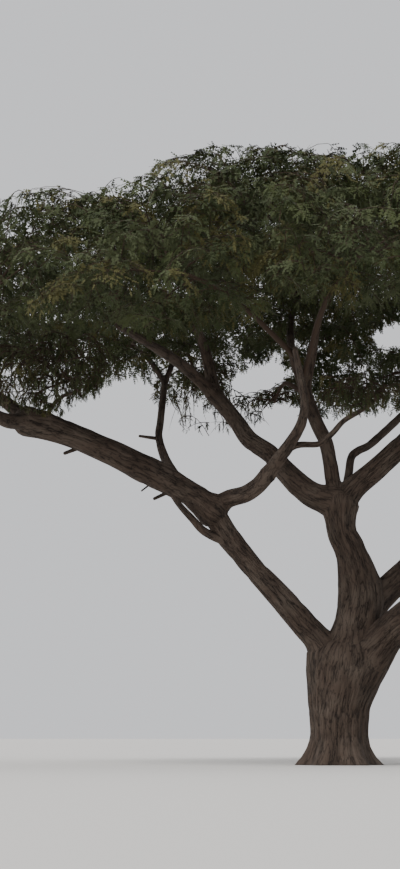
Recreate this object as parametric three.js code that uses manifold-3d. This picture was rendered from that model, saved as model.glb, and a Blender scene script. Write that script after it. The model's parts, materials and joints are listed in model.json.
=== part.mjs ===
// Flat-topped acacia at full size: a short forked trunk, spreading boughs and the leafy masses of its crown.
// Millimetres, +Z up. The origin is the middle of the flat cut under the trunk. X runs along the broad side
// of the crown, from left to right, and Y runs away from the viewer.
import * as THREE from "three";
import { mergeVertices } from "three/addons/utils/BufferGeometryUtils.js";
import Module from "manifold-3d";

const wasm = await Module();
wasm.setup();

// Joints between the pieces
const JOINT_GAP = 0.3; // clear space between a limb and what it grows from
const TWIG_GAP = 26; // clear space between foliage and the limbs or foliage of another mass

// The trunk, from the flat cut up to its rounded top between the boughs:
// each row is a height, the half width, the half depth and how far the axis has moved to the right.
const TRUNK_ROWS = [
  [0, 590, 575, -10],
  [110, 505, 500, -10],
  [260, 435, 435, -8],
  [450, 400, 405, -5],
  [800, 430, 420, 0],
  [1150, 515, 450, 65],
  [1400, 585, 470, 120],
  [1600, 590, 450, 150],
  [1750, 470, 360, 165],
  [1830, 260, 220, 170],
];
const TRUNK_SIDES = 18;
const ROOT_LOBES = 6; // ridges that run out into the roots
const ROOT_LOBE_DEPTH = 0.11; // their depth at the ground, as a share of the radius
const ROOT_LOBE_FADE = 420; // the height over which they fade

// Limbs, each after the one that it grows from. at: a height on the trunk, or a share of the parent's length.
// girth: diameters at even steps from the foot to the tip. way: strides of a bearing from +X towards +Y, a
// climb and a length. snags: short broken stubs, each a share of the limb's length, a bearing, a climb, a length
// and a diameter.
const LIMBS = [
  { name: "left_bough", from: "trunk", at: 1300, girth: [420, 375, 300, 330],
    way: [
      [-174, 50, 890], [-163, 47, 410], [-164, 46, 410], [-162, 45, 370], [-161, 50, 620], [-161, 55, 370],
    ] },
  { name: "centre_stem", from: "trunk", at: 1500, girth: [560, 600, 640, 600, 455, 420, 450],
    way: [[0, 78, 780], [0, 90, 330], [180, 75, 527], [169, 66, 270], [161, 83, 220], [56, 87, 220]] },
  { name: "right_bough", from: "trunk", at: 1600, girth: [430, 380, 290],
    way: [[17, 63, 730], [30, 42, 690], [35, 37, 1200], [37, 37, 830]] },
  { name: "low_right_bough", from: "trunk", at: 1150, girth: [570, 510, 440, 370, 310],
    way: [[-20, 47, 680], [-34, 42, 569], [-39, 33, 1176], [-40, 42, 1030]] },
  { name: "outer_left_limb", from: "left_bough", at: 1,
    girth: [380, 330, 375, 410, 375, 347, 333, 365, 400],
    way: [[-160, 37, 380], [-161, 29, 350], [-160, 24, 530], [-156, 23, 530], [-157, 19, 770], [-162, 15, 500]],
    snags: [[0.28, -178, -26, 390, 60], [0.4, 176, -38, 330, 30], [0.73, -175, -22, 390, 66]] },
  { name: "far_left_limb", from: "outer_left_limb", at: 1, girth: [200, 95],
    way: [[144, 37, 430], [131, 27, 1340]] },
  { name: "front_left_limb", from: "outer_left_limb", at: 1, girth: [240, 95],
    way: [[-117, -5, 560], [-107, 7, 1270]] },
  { name: "left_spur", from: "outer_left_limb", at: 0.93, girth: [75, 42],
    way: [[-45, 42, 500], [-35, 16, 360]] },
  { name: "under_strip", from: "left_bough", at: 0.78, girth: [150, 112, 75],
    way: [[-150, 18, 510], [-153, 41, 280], [-165, 46, 230], [169, 54, 190]] },
  { name: "upright_limb", from: "outer_left_limb", at: 0.14, girth: [170, 110, 100],
    way: [[133, 38, 500], [112, 35, 590], [102, 38, 580], [88, 33, 480], [87, 36, 1230]],
    snags: [[0.58, 178, 8, 290, 54]] },
  { name: "upright_left_fork", from: "upright_limb", at: 1, girth: [90, 60],
    way: [[115, 36, 680], [117, 28, 770]] },
  { name: "upright_right_fork", from: "upright_limb", at: 1, girth: [90, 60],
    way: [[78, 33, 610], [78, 28, 1040]] },
  { name: "crossing_limb", from: "left_bough", at: 1, girth: [260, 230],
    way: [[-22, 37, 270], [-39, 11, 360], [-40, 26, 260], [-46, 36, 220]] },
  { name: "rising_limb", from: "crossing_limb", at: 1, girth: [210, 115, 80],
    way: [[-58, 34, 310], [-67, 28, 800], [-80, 24, 330], [-90, 19, 580], [-97, 19, 1500]] },
  { name: "slender_limb", from: "rising_limb", at: 0.27, girth: [95, 75, 55],
    way: [[-34, 18, 220], [-8, 3, 320], [-23, 37, 230], [-42, 38, 250], [-55, 16, 440], [-65, 15, 570]] },
  { name: "upper_left_bough", from: "centre_stem", at: 1, girth: [370, 340, 270, 240, 235],
    way: [
      [175, 11, 250], [169, 27, 280], [153, 42, 480], [145, 46, 350], [147, 33, 440], [134, 47, 400],
      [131, 42, 690],
    ] },
  { name: "crown_left_limb", from: "upper_left_bough", at: 1, girth: [200, 110],
    way: [[133, 76, 540], [-147, 67, 470], [-140, 48, 470]] },
  { name: "low_left_limb", from: "upper_left_bough", at: 1, girth: [190, 90],
    way: [[-133, 28, 770], [-120, 13, 600], [-114, 7, 1540]] },
  { name: "centre_bough", from: "centre_stem", at: 1, girth: [215, 205, 185],
    way: [[168, 70, 300], [139, 79, 320], [131, 73, 310], [128, 57, 390], [122, 59, 590]] },
  { name: "back_centre_limb", from: "centre_bough", at: 1, girth: [150, 80],
    way: [[103, 41, 810], [91, 34, 1200], [82, 29, 1160]] },
  { name: "top_centre_limb", from: "centre_bough", at: 1, girth: [150, 80],
    way: [[-64, 62, 480], [-78, 55, 530], [-68, 48, 490]] },
  { name: "upper_right_bough", from: "centre_stem", at: 1, girth: [330, 310, 260],
    way: [[-7, 46, 360], [-5, 40, 270], [-15, 40, 250], [-12, 42, 340], [-20, 38, 730], [-17, 46, 510]] },
  { name: "crown_right_limb", from: "upper_right_bough", at: 1, girth: [150, 80],
    way: [[-70, 30, 610], [-83, 19, 750]] },
  { name: "mid_right_limb", from: "upper_right_bough", at: 1, girth: [160, 80],
    way: [[52, 31, 890], [49, 31, 920]] },
  { name: "slim_right_limb", from: "upper_right_bough", at: 0.03, girth: [120, 115, 75],
    way: [
      [62, 66, 430], [77, 47, 380], [58, 28, 200], [60, 17, 360], [60, 25, 450], [66, 24, 2210], [74, 26, 1050],
    ] },
  { name: "back_right_limb", from: "right_bough", at: 1, girth: [190, 80],
    way: [[57, 33, 1130], [63, 30, 1180], [51, 32, 1040]] },
  { name: "far_right_limb", from: "right_bough", at: 1, girth: [190, 80],
    way: [[-13, 51, 730], [-9, 43, 870], [14, 31, 970]] },
  { name: "outer_right_limb", from: "low_right_bough", at: 1, girth: [240, 95],
    way: [[-28, 34, 1040], [-19, 27, 1020], [-16, 28, 840]] },
  { name: "front_right_limb", from: "low_right_bough", at: 1, girth: [200, 80],
    way: [[-82, 29, 1280], [-87, 30, 1150], [-68, 30, 500]] },
];
const COLLAR = 0.16; // how much wider a limb is right at its foot
const COLLAR_FADE = 1.6; // how fast that fades, for each foot's diameter along the limb
const SPARE_RINGS = 2; // rings of a limb beyond one for each stride
const SNAG_SIDES = 4;
const SNAG_TAPER = [1.15, 0.75]; // a snag's diameter at its foot and its end, as shares of the stated one

// The crown: rings of leafy masses under a dome, and lower masses that hang from limbs of their own.
const CROWN = { radius: 7200, top: 9000, fall: 2100 }; // fall: how far the dome has come down at the radius
// Shallow valleys across the dome, from front to back: each a place along X, a half width and a depth.
const VALLEYS = [
  [-3500, 420, 370], [-2500, 700, 160], [-400, 650, 260], [700, 450, 140], [1900, 600, 200],
  [3900, 500, 300],
];
const CROWN_RINGS = [
  { name: "rim", count: 12, reach: 5620, first: 0, width: 1850, height: 900, leaves: 5 },
  { name: "middle", count: 8, reach: 3200, first: 22, width: 1850, height: 1140, leaves: 6 },
  { name: "top", count: 3, reach: 1250, first: 40, width: 1650, height: 1000, leaves: 6 },
];
const RING_SHUFFLE = { bearing: 4, reach: 160, size: 0.1, lift: 110 }; // how unlike the masses of a ring are
// Hanging masses: their limb, the bearing, the distance and the rise from its tip, and the half width and height.
const HANGING_MASSES = [
  { name: "hanging_left", limb: "left_spur",
    bearing: 180, reach: 380, rise: 260, width: 950, height: 640 },
  { name: "hanging_back_left", limb: "upright_right_fork",
    bearing: 40, reach: 260, rise: -850, width: 1050, height: 620 },
  { name: "hanging_centre", limb: "centre_bough",
    bearing: 110, reach: 1380, rise: -60, width: 680, height: 360 },
  { name: "hanging_front_right", limb: "slender_limb",
    bearing: 180, reach: 330, rise: -10, width: 700, height: 330 },
  { name: "hanging_back_right", limb: "slim_right_limb",
    bearing: 180, reach: 800, rise: -60, width: 900, height: 420 },
  { name: "hanging_right", limb: "crown_right_limb",
    bearing: 0, reach: 700, rise: -250, width: 850, height: 430 },
];
const SLIGHT_LIMBS = ["under_strip", "left_spur", "slender_limb"]; // too slight for the crown's main masses
// Open places in the far rim, where the sky shows through: a point and a radius.
const SKY_GAPS = [
  { at: [-980, 5600, 6280], radius: 420 },
  { at: [1150, 5600, 7000], radius: 380 },
];
const SQUARENESS = 4; // 2 makes a mass's space a flattened ball, and more makes it boxier
const FLATNESS = 1.6; // how much more a step up counts than a step sideways, between two masses

// The stem of a mass, from its limb to near its middle. start and step: the share of the limb's length where the
// first stem leaves it, and how much lower each further one does. end: the share of the way to the middle.
// bend: how far it swings out, as a share of its length. crowding: the longer way that a mass takes to a limb
// for each mass that the limb carries already.
const STEM = {
  girth: [84, 44], sides: 4, rings: 3, start: 0.97, step: 0.09, end: 0.92, bend: 0.22, crowding: 450,
};
// Twigs along the stem's upper part. spread: the length of that part, as a share of the mass's half width.
// lowest and highest: its ends, as shares of the stem, at the most. turn: the bearing by which each mass's first
// twig is turned from the last mass's.
const TWIG = {
  girth: [34, 14], sides: 3, count: 5, least: 240, spread: 0.45, lowest: 0.3, highest: 0.98, turn: 47,
};
// Leaves at the sides and the tip of a twig. Each stands for a whole spray of the tree's small feathery leaves.
// sides and tip: shares of the twig's length. width and thickness: shares of the leaf's length.
const LEAF = {
  length: 1400, least: 420, width: 0.7, thickness: 0.018, swing: 58, sides: [0.35, 0.8], tip: 0.95,
};
const TWIG_TRIES = [0.6, 0.4]; // the share of its room that a twig takes, and a shorter one where that is barred
const LEAF_TRIES = [1, 0.75, 0.5]; // the same for a leaf
const RISING = [-28, 54]; // the climb of the lowest and the highest twig in a mass of the crown
const DROOPING = [-34, 16]; // and in a hanging mass
const LEAF_CLIMB = 0.6; // a leaf's climb, as a share of its twig's
const GOLDEN_ANGLE = 137.5;
const TWIG_PLAY = { bearing: 12, climb: 8 }; // how far twigs and leaves stray from the rule
const LEAF_PLAY = { swing: 12, climb: 16, roll: 60, length: 0.15 };
const PROBE = 60; // how finely a line is felt along for room

const COLOURS = { bark: 0x33261d, foliage: 0x2b3016 };

// Small helpers

const RAD = Math.PI / 180;
const mix = (a, b, share) => a + (b - a) * share;

// The value at a share of the way through a list of evenly spaced values.
function valueAlong(values, share) {
  const place = share * (values.length - 1);
  const i = Math.min(Math.floor(place), values.length - 2);
  return mix(values[i], values[i + 1], place - i);
}

// A repeatable stream of numbers from -1 to 1.
function seeded(seed) {
  let state = seed >>> 0;
  return () => {
    state = (state + 0x6d2b79f5) >>> 0;
    let t = Math.imul(state ^ (state >>> 15), state | 1);
    t ^= t + Math.imul(t ^ (t >>> 7), t | 61);
    return ((t ^ (t >>> 14)) >>> 0) / 2147483648 - 1;
  };
}

// The direction of a bearing and a climb in degrees.
function heading(bearing, climb) {
  const level = Math.cos(climb * RAD);
  return new THREE.Vector3(
    level * Math.cos(bearing * RAD),
    level * Math.sin(bearing * RAD),
    Math.sin(climb * RAD),
  );
}

const ahead = (from, way, length) => from.clone().addScaledVector(way, length);

// The smooth curve through a start point and the strides that follow it.
function walk(start, strides) {
  const points = [start.clone()];
  for (const [bearing, climb, length] of strides)
    points.push(ahead(points.at(-1), heading(bearing, climb), length));
  return new THREE.CatmullRomCurve3(points);
}

// Solids

function solidFrom(positions, faces) {
  return new wasm.Manifold(
    new wasm.Mesh({
      numProp: 3,
      vertProperties: new Float32Array(positions),
      triVerts: new Uint32Array(faces),
    }),
  );
}

// Closes a stack of rings, all with the same number of points, into one solid.
function loft(rings) {
  const sides = rings[0].length;
  const faces = [];
  for (let i = 0; i + 1 < rings.length; i++)
    for (let j = 0; j < sides; j++) {
      const a = i * sides + j;
      const b = i * sides + ((j + 1) % sides);
      faces.push(a, b, b + sides, a, b + sides, a + sides);
    }
  const last = (rings.length - 1) * sides;
  for (let j = 1; j + 1 < sides; j++) faces.push(0, j + 1, j, last, last + j, last + j + 1);
  return solidFrom(rings.flat().flatMap((p) => p.toArray()), faces);
}

// A path along a curve: a list of points, each with its direction and its radius.
function pathAlong(curve, girth, rings, foot = 0) {
  const path = [];
  for (let i = 0; i < rings; i++) {
    const share = i / (rings - 1);
    const point = curve.getPoint(share);
    const run = i ? path[i - 1].run + point.distanceTo(path[i - 1].point) : 0;
    path.push({ point, run, direction: curve.getTangent(share) });
  }
  const length = path.at(-1).run;
  for (const step of path) {
    const collar = foot * Math.exp((-COLLAR_FADE * step.run) / girth[0]);
    step.radius = (valueAlong(girth, step.run / length) / 2) * (1 + collar);
  }
  return path;
}

// The point at a share of the way along a path, on the axis of its tube.
function pointOn(path, share) {
  const place = share * (path.length - 1);
  const i = Math.min(Math.floor(place), path.length - 2);
  return path[i].point.clone().lerp(path[i + 1].point, place - i);
}

// A round tube along a path. grow thickens and lengthens it on all sides.
function tube(path, sides, grow = 0) {
  let normal = new THREE.Vector3(0, 0, 1).cross(path[0].direction);
  if (normal.lengthSq() < 0.01) normal.set(1, 0, 0);
  const rings = path.map(({ point, direction, radius }, i) => {
    normal = ahead(normal, direction, -normal.dot(direction)).normalize();
    const across = direction.clone().cross(normal);
    const beyond = i === 0 ? -grow : i === path.length - 1 ? grow : 0;
    const centre = ahead(point, direction, beyond);
    const reach = radius + grow / Math.cos(Math.PI / sides);
    return Array.from({ length: sides }, (_, j) => {
      const turn = (2 * Math.PI * j) / sides;
      return ahead(ahead(centre, normal, reach * Math.cos(turn)), across, reach * Math.sin(turn));
    });
  });
  return loft(rings);
}

const boxesMeet = (a, b) => [0, 1, 2].every((k) => a.min[k] <= b.max[k] && b.min[k] <= a.max[k]);

// The trunk

// The trunk's axis at a height, between the rows above and below it.
function trunkCentre(height) {
  const above = TRUNK_ROWS.findIndex((row) => row[0] > height);
  const [low, high] = [TRUNK_ROWS[above - 1], TRUNK_ROWS[above]];
  const share = (height - low[0]) / (high[0] - low[0]);
  return new THREE.Vector3(mix(low[3], high[3], share), 0, height);
}

function trunkSolid(grow) {
  const rings = TRUNK_ROWS.map(([height, halfWidth, halfDepth, shift], i) => {
    const fade = Math.exp(-height / ROOT_LOBE_FADE);
    const lift = i === TRUNK_ROWS.length - 1 ? grow : 0;
    return Array.from({ length: TRUNK_SIDES }, (_, j) => {
      const turn = (2 * Math.PI * j) / TRUNK_SIDES;
      const swell = 1 + ROOT_LOBE_DEPTH * fade * Math.cos(ROOT_LOBES * turn);
      return new THREE.Vector3(
        shift + (halfWidth * swell + grow) * Math.cos(turn),
        (halfDepth * swell + grow) * Math.sin(turn),
        height + lift,
      );
    });
  });
  return loft(rings);
}

// Limbs

const limbs = {};

// Thicker limbs have more sides.
const sidesFor = (girth) => (girth > 280 ? 8 : girth > 140 ? 6 : 5);

class Limb {
  constructor({ name, from, at, girth, way, snags = [] }) {
    this.name = name;
    const foot = from === "trunk" ? trunkCentre(at) : limbs[from].curve.getPoint(at);
    this.curve = walk(foot, way);
    this.path = pathAlong(this.curve, girth, way.length + SPARE_RINGS, COLLAR);
    this.sides = sidesFor(girth[0]);
    this.tipGirth = girth.at(-1);
    this.snags = snags.map(([share, bearing, climb, length, thickness]) => {
      const stub = walk(this.curve.getPoint(share), [[bearing, climb, length]]);
      return pathAlong(stub, SNAG_TAPER.map((taper) => taper * thickness), 2);
    });
    this.massesCarried = 0;
  }

  solid(grow) {
    const stubs = this.snags.map((path) => tube(path, SNAG_SIDES, grow));
    return wasm.Manifold.union([tube(this.path, this.sides, grow), ...stubs]);
  }
}

for (const limb of LIMBS) limbs[limb.name] = new Limb(limb);
const wideLimbs = Object.values(limbs).map((limb) => limb.solid(TWIG_GAP));
const openPlaces = SKY_GAPS.map(({ at, radius }) => wasm.Manifold.sphere(radius, 24).translate(at));

// The crown's masses

// The dome's height over a place: it falls with the square of the way out, and in each valley by a bell curve.
function domeTop(x, y) {
  const dips = VALLEYS.map(([at, width, depth]) => depth * Math.exp(-(((x - at) / width) ** 2)));
  const fall = (CROWN.fall * (x * x + y * y)) / CROWN.radius ** 2;
  return CROWN.top - fall - dips.reduce((sum, dip) => sum + dip, 0);
}

// The masses of one ring, each a little unlike its neighbours.
function ringMasses(ring, ringNumber) {
  return Array.from({ length: ring.count }, (_, i) => {
    const random = seeded(1000 * (ringNumber + 1) + i);
    const bearing = ring.first + (360 * i) / ring.count + RING_SHUFFLE.bearing * random();
    const reach = ring.reach + RING_SHUFFLE.reach * random();
    const width = ring.width * (1 + RING_SHUFFLE.size * random());
    const height = ring.height * (1 + RING_SHUFFLE.size * random());
    const lift = RING_SHUFFLE.lift * random();
    const centre = heading(bearing, 0).multiplyScalar(reach);
    centre.z = domeTop(centre.x, centre.y) - height + lift;
    const name = `${ring.name}_mass_${String(i + 1).padStart(2, "0")}`;
    return { name, centre, width, height, lift, leaves: ring.leaves, climbs: RISING };
  });
}

function hangingMass({ name, limb, bearing, reach, rise, width, height }) {
  const centre = ahead(limbs[limb].curve.getPoint(1), heading(bearing, 0), reach);
  centre.z += rise;
  return { name: `${name}_mass`, limb, centre, width, height, lift: 0, leaves: 5, climbs: DROOPING };
}

const forked = new Set(LIMBS.filter((limb) => limb.at === 1).map((limb) => limb.from));
const bareTips = Object.values(limbs).filter(({ name }) => !forked.has(name) && !SLIGHT_LIMBS.includes(name));

// A leaf of unit half sizes: a kite of four faces, with its root and tip lower than its two sides.
function unitBlade() {
  const kite = new THREE.TetrahedronGeometry(Math.sqrt(3)).rotateZ(-Math.PI / 4);
  kite.deleteAttribute("normal");
  kite.deleteAttribute("uv");
  return mergeVertices(kite.scale(Math.SQRT1_2, Math.SQRT1_2, 1));
}
const bladeShape = unitBlade();

// One leafy mass. Its space is a flattened ball, cut off by planes half-way to its neighbours.
class Mass {
  constructor(plan, seed) {
    Object.assign(this, plan);
    this.seed = seed;
    this.limb = plan.limb ? limbs[plan.limb] : this.nearestLimb();
    const foot = Math.min(STEM.girth[0], this.limb.tipGirth);
    this.stem = pathAlong(this.plotStem(), [foot, STEM.girth[1]], STEM.rings);
  }

  // The limb whose tip is nearest to the mass's underside carries it, unless it carries many already.
  nearestLimb() {
    const foot = this.centre.clone();
    foot.z -= this.height / 2;
    const distance = (limb) => limb.curve.getPoint(1).distanceTo(foot) + STEM.crowding * limb.massesCarried;
    return bareTips.reduce((a, b) => (distance(a) < distance(b) ? a : b));
  }

  // The stem leaves its limb at the tip, or a little short of it where others do, and bends into the middle.
  plotStem() {
    const share = STEM.start - STEM.step * this.limb.massesCarried++;
    const start = this.limb.curve.getPoint(share);
    const end = start.clone().lerp(this.centre, STEM.end);
    const length = start.distanceTo(end);
    const knee = ahead(start.clone().lerp(end, 0.5), this.limb.curve.getTangent(share), STEM.bend * length);
    return new THREE.CatmullRomCurve3([start, knee, end]);
  }

  // Learns the planes between this mass and the others, and joins all that bars its twigs and leaves.
  lookRound(masses) {
    const squash = new THREE.Vector3(1, 1, FLATNESS * FLATNESS);
    const size = ({ centre, width }) => centre.clone().multiply(squash).dot(centre) - width * width;
    const others = masses.filter((other) => other !== this);
    this.planes = others.map((other) => {
      const slope = other.centre.clone().sub(this.centre).multiply(squash).multiplyScalar(2);
      const steepness = slope.length();
      return { slope: slope.divideScalar(steepness), offset: (size(other) - size(this)) / steepness };
    });
    const reach = new THREE.Vector3(this.width, this.width, this.height);
    const box = { min: this.centre.clone().sub(reach).toArray(), max: this.centre.clone().add(reach).toArray() };
    const stems = others.map((other) => tube(other.stem, STEM.sides, TWIG_GAP));
    const near = [...wideLimbs, ...openPlaces, ...stems].filter((solid) => boxesMeet(solid.boundingBox(), box));
    this.barred = wasm.Manifold.union(near);
  }

  // How far inside the mass's space and under the dome a point lies; negative outside.
  roomAt(point) {
    const from = point.clone().sub(this.centre);
    const out = Math.hypot(from.x, from.y) / this.width;
    const share = (out ** SQUARENESS + Math.abs(from.z / this.height) ** SQUARENESS) ** (1 / SQUARENESS);
    let room = Math.min((1 - share) * this.height, domeTop(point.x, point.y) + this.lift - point.z);
    for (const { slope, offset } of this.planes) room = Math.min(room, offset - slope.dot(point));
    return room;
  }

  // How far a straight line runs before it leaves the space.
  reachAlong(from, way, most) {
    let run = 0;
    while (run < most && this.roomAt(ahead(from, way, run)) > TWIG_GAP) run += PROBE;
    return run - PROBE;
  }

  // A twig leaves the stem and stops well short of the edge, where its leaves reach on.
  twig(start, bearing, climb) {
    const reach = this.reachAlong(start, heading(bearing, climb), 2 * this.width);
    for (const length of TWIG_TRIES.map((share) => share * reach)) {
      if (length < TWIG.least) return null;
      const path = pathAlong(walk(start, [[bearing, climb, length]]), TWIG.girth, 2);
      const solid = tube(path, TWIG.sides);
      if (solid.intersect(this.barred).isEmpty()) return { path, solid };
    }
    return null;
  }

  // A leaf: a thin pointed blade, its root sunk in the twig, clear of the leaves before it.
  leaf(root, bearing, climb, roll, most, before) {
    const along = heading(bearing, climb);
    const flat = heading(bearing + 90, 0).applyAxisAngle(along, roll * RAD);
    const reach = this.reachAlong(root, along, most);
    for (const length of LEAF_TRIES.map((share) => share * reach)) {
      if (length < LEAF.least) return null;
      const half = (LEAF.width * length) / 2;
      const middle = ahead(root, along, length / 2);
      const inside = [-half, half].every((side) => this.roomAt(ahead(middle, flat, side)) > TWIG_GAP);
      const turn = new THREE.Matrix4()
        .makeBasis(along, flat, along.clone().cross(flat))
        .scale(new THREE.Vector3(length / 2, half, (LEAF.thickness * length) / 2))
        .setPosition(middle);
      const shape = bladeShape.clone().applyMatrix4(turn);
      const solid = solidFrom(shape.attributes.position.array, shape.index.array);
      if (inside && [this.barred, ...before].every((other) => other.intersect(solid).isEmpty())) return solid;
    }
    return null;
  }

  // Twigs branch off the stem by the golden angle, the upper ones steeper.
  solid() {
    const random = seeded(this.seed);
    const parts = [tube(this.stem, STEM.sides)];
    const lowest = Math.max(TWIG.lowest, 1 - (TWIG.spread * this.width) / this.stem.at(-1).run);
    for (let i = 0; i < TWIG.count; i++) {
      const share = i / (TWIG.count - 1);
      const start = pointOn(this.stem, mix(lowest, TWIG.highest, share));
      const bearing = TWIG.turn * this.seed + GOLDEN_ANGLE * i + TWIG_PLAY.bearing * random();
      const climb = mix(...this.climbs, share) + TWIG_PLAY.climb * random();
      const twig = this.twig(start, bearing, climb);
      this.addLeaves(twig, bearing, climb, random, parts);
      if (twig) parts.push(twig.solid);
    }
    return wasm.Manifold.union(parts);
  }

  // Leaves stand at the two sides of a twig in turn, and the last at its tip. A twig that was skipped still uses
  // up its numbers, so that the ones after it stay as they are.
  addLeaves(twig, bearing, climb, random, parts) {
    const last = this.leaves - 1;
    for (let k = 0; k <= last; k++) {
      const side = k === last ? 0 : k % 2 ? 1 : -1;
      const swing = side * LEAF.swing + LEAF_PLAY.swing * random();
      const lift = LEAF_PLAY.climb * random();
      const roll = LEAF_PLAY.roll * random();
      const length = LEAF.length * (1 + LEAF_PLAY.length * random());
      if (!twig) continue;
      const root = pointOn(twig.path, k === last ? LEAF.tip : mix(...LEAF.sides, k / (last - 1)));
      const leaf = this.leaf(root, bearing + swing, LEAF_CLIMB * climb + lift, roll, length, parts);
      if (leaf) parts.push(leaf);
    }
  }
}

// Assembly

const bark = new THREE.MeshStandardMaterial({ color: COLOURS.bark, roughness: 0.95, metalness: 0 });
const foliage = new THREE.MeshStandardMaterial({ color: COLOURS.foliage, roughness: 0.8, metalness: 0 });

function meshOf(name, solid, material) {
  const made = solid.getMesh();
  const geometry = new THREE.BufferGeometry();
  geometry.setAttribute("position", new THREE.BufferAttribute(made.vertProperties, 3));
  geometry.setIndex(new THREE.BufferAttribute(made.triVerts, 1));
  geometry.computeVertexNormals();
  const mesh = new THREE.Mesh(geometry, material);
  mesh.name = name;
  return mesh;
}

const taken = []; // what is already there, grown by the joint gap

// A piece cut clear of what is there. A scrap that the cut parts from it is dropped.
function fitted(solid) {
  const box = solid.boundingBox();
  const near = taken.filter((other) => boxesMeet(other.boundingBox(), box));
  const bodies = solid.subtract(wasm.Manifold.union(near)).decompose();
  return bodies.reduce((a, b) => (a.volume() > b.volume() ? a : b));
}

const wood = new THREE.Group();
wood.add(meshOf("trunk", trunkSolid(0), bark));
taken.push(trunkSolid(JOINT_GAP));
for (const limb of Object.values(limbs)) {
  wood.add(meshOf(limb.name, fitted(limb.solid(0)), bark));
  taken.push(limb.solid(JOINT_GAP));
}

const plans = [...HANGING_MASSES.map(hangingMass), ...CROWN_RINGS.flatMap(ringMasses)];
const masses = plans.map((plan, i) => new Mass(plan, i + 1));
for (const mass of masses) mass.lookRound(masses);

const crown = new THREE.Group();
for (const mass of masses) {
  crown.add(meshOf(mass.name, fitted(mass.solid()), foliage));
  taken.push(tube(mass.stem, STEM.sides, JOINT_GAP));
}

const tree = new THREE.Group();
tree.add(wood, crown);
export default tree;
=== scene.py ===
"""Dresses the flat-topped acacia: rough bark on its trunk and limbs, leafy sprays in its crown.

The limbs and the crown's masses follow the same rule as the solids, with the same sizes in millimetres, and
the rule is carried on to finer twigs and to small feathery leaves. Meshes are made in metres.
"""

from __future__ import annotations

import json
import logging
import math
from collections.abc import Iterable, Sequence
from dataclasses import dataclass, field, fields, replace
from enum import Enum

import bpy
import numpy as np
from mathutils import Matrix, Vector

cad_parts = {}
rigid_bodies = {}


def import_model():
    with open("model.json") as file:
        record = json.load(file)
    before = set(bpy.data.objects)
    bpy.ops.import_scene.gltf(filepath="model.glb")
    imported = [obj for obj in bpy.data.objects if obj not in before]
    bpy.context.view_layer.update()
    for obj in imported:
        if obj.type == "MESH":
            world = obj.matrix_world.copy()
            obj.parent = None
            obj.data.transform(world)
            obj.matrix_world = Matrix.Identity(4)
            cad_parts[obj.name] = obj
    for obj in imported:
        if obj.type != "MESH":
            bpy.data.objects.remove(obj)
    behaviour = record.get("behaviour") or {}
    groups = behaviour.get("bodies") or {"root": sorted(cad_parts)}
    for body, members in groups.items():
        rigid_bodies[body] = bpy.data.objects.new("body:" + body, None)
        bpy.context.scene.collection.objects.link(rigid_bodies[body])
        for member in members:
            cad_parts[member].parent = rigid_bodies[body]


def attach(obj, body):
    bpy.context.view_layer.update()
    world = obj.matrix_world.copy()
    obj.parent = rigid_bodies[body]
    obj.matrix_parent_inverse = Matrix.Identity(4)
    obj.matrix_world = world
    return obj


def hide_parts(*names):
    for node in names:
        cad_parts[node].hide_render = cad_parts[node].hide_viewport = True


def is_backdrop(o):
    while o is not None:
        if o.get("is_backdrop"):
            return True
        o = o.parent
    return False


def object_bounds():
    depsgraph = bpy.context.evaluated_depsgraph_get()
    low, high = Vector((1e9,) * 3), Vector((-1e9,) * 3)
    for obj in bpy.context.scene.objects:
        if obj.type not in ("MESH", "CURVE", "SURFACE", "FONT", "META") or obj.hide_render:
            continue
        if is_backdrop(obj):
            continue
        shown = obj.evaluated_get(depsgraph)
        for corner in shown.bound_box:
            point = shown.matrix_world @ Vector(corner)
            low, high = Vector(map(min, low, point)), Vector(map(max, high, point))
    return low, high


log = logging.getLogger("acacia")

Array = np.ndarray
Colour = tuple[float, float, float, float]

METRE = 0.001  # metres in a millimetre
UP = np.array([0.0, 0.0, 1.0])
TINY = 1e-9  # the least length that is divided by
SLIGHT = 1e-6  # stands in for nothing where a direction needs a side or a slope
NUDGE = 1e-4  # how far apart two places on a curve are that give its direction
BODY = "root"
BOX_MARGIN = 150  # how far past the solids' box a shoot may reach

MASK = 0xFFFFFFFF  # keeps whole numbers to 32 bits
STREAM_STEP, STREAM_BITS = 0x6D2B79F5, 61  # the two numbers of the stream's rule
CELL_PRIMES = np.array([73856093, 19349663, 83492791])  # one for each coordinate of a noise's cell
SEED_PRIME = 2654435761
STIR_PRIME = 1274126177
NOISE_LEVELS = 0xFFFF
NOISE_SEEDS = {"bark": 11, "knots": 13, "sky": 17, "bounds": 19}
MIX_INPUTS, MIX_OUTPUT = (0, 6, 7), 2  # where a Mix node has its share, its two colours and their mixture


# Sizes shared with the solids

TRUNK_ROWS = (  # height, half width, half depth, shift of the axis to the right
    (0, 590, 575, -10),
    (110, 505, 500, -10),
    (260, 435, 435, -8),
    (450, 400, 405, -5),
    (800, 430, 420, 0),
    (1150, 515, 450, 65),
    (1400, 585, 470, 120),
    (1600, 590, 450, 150),
    (1750, 470, 360, 165),
    (1830, 260, 220, 170),
)
ROOT_LOBES = 6
ROOT_LOBE_DEPTH = 0.11  # how far they stand out, as a share of the half width
ROOT_LOBE_FADE = 420  # the height over which they fade

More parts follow.
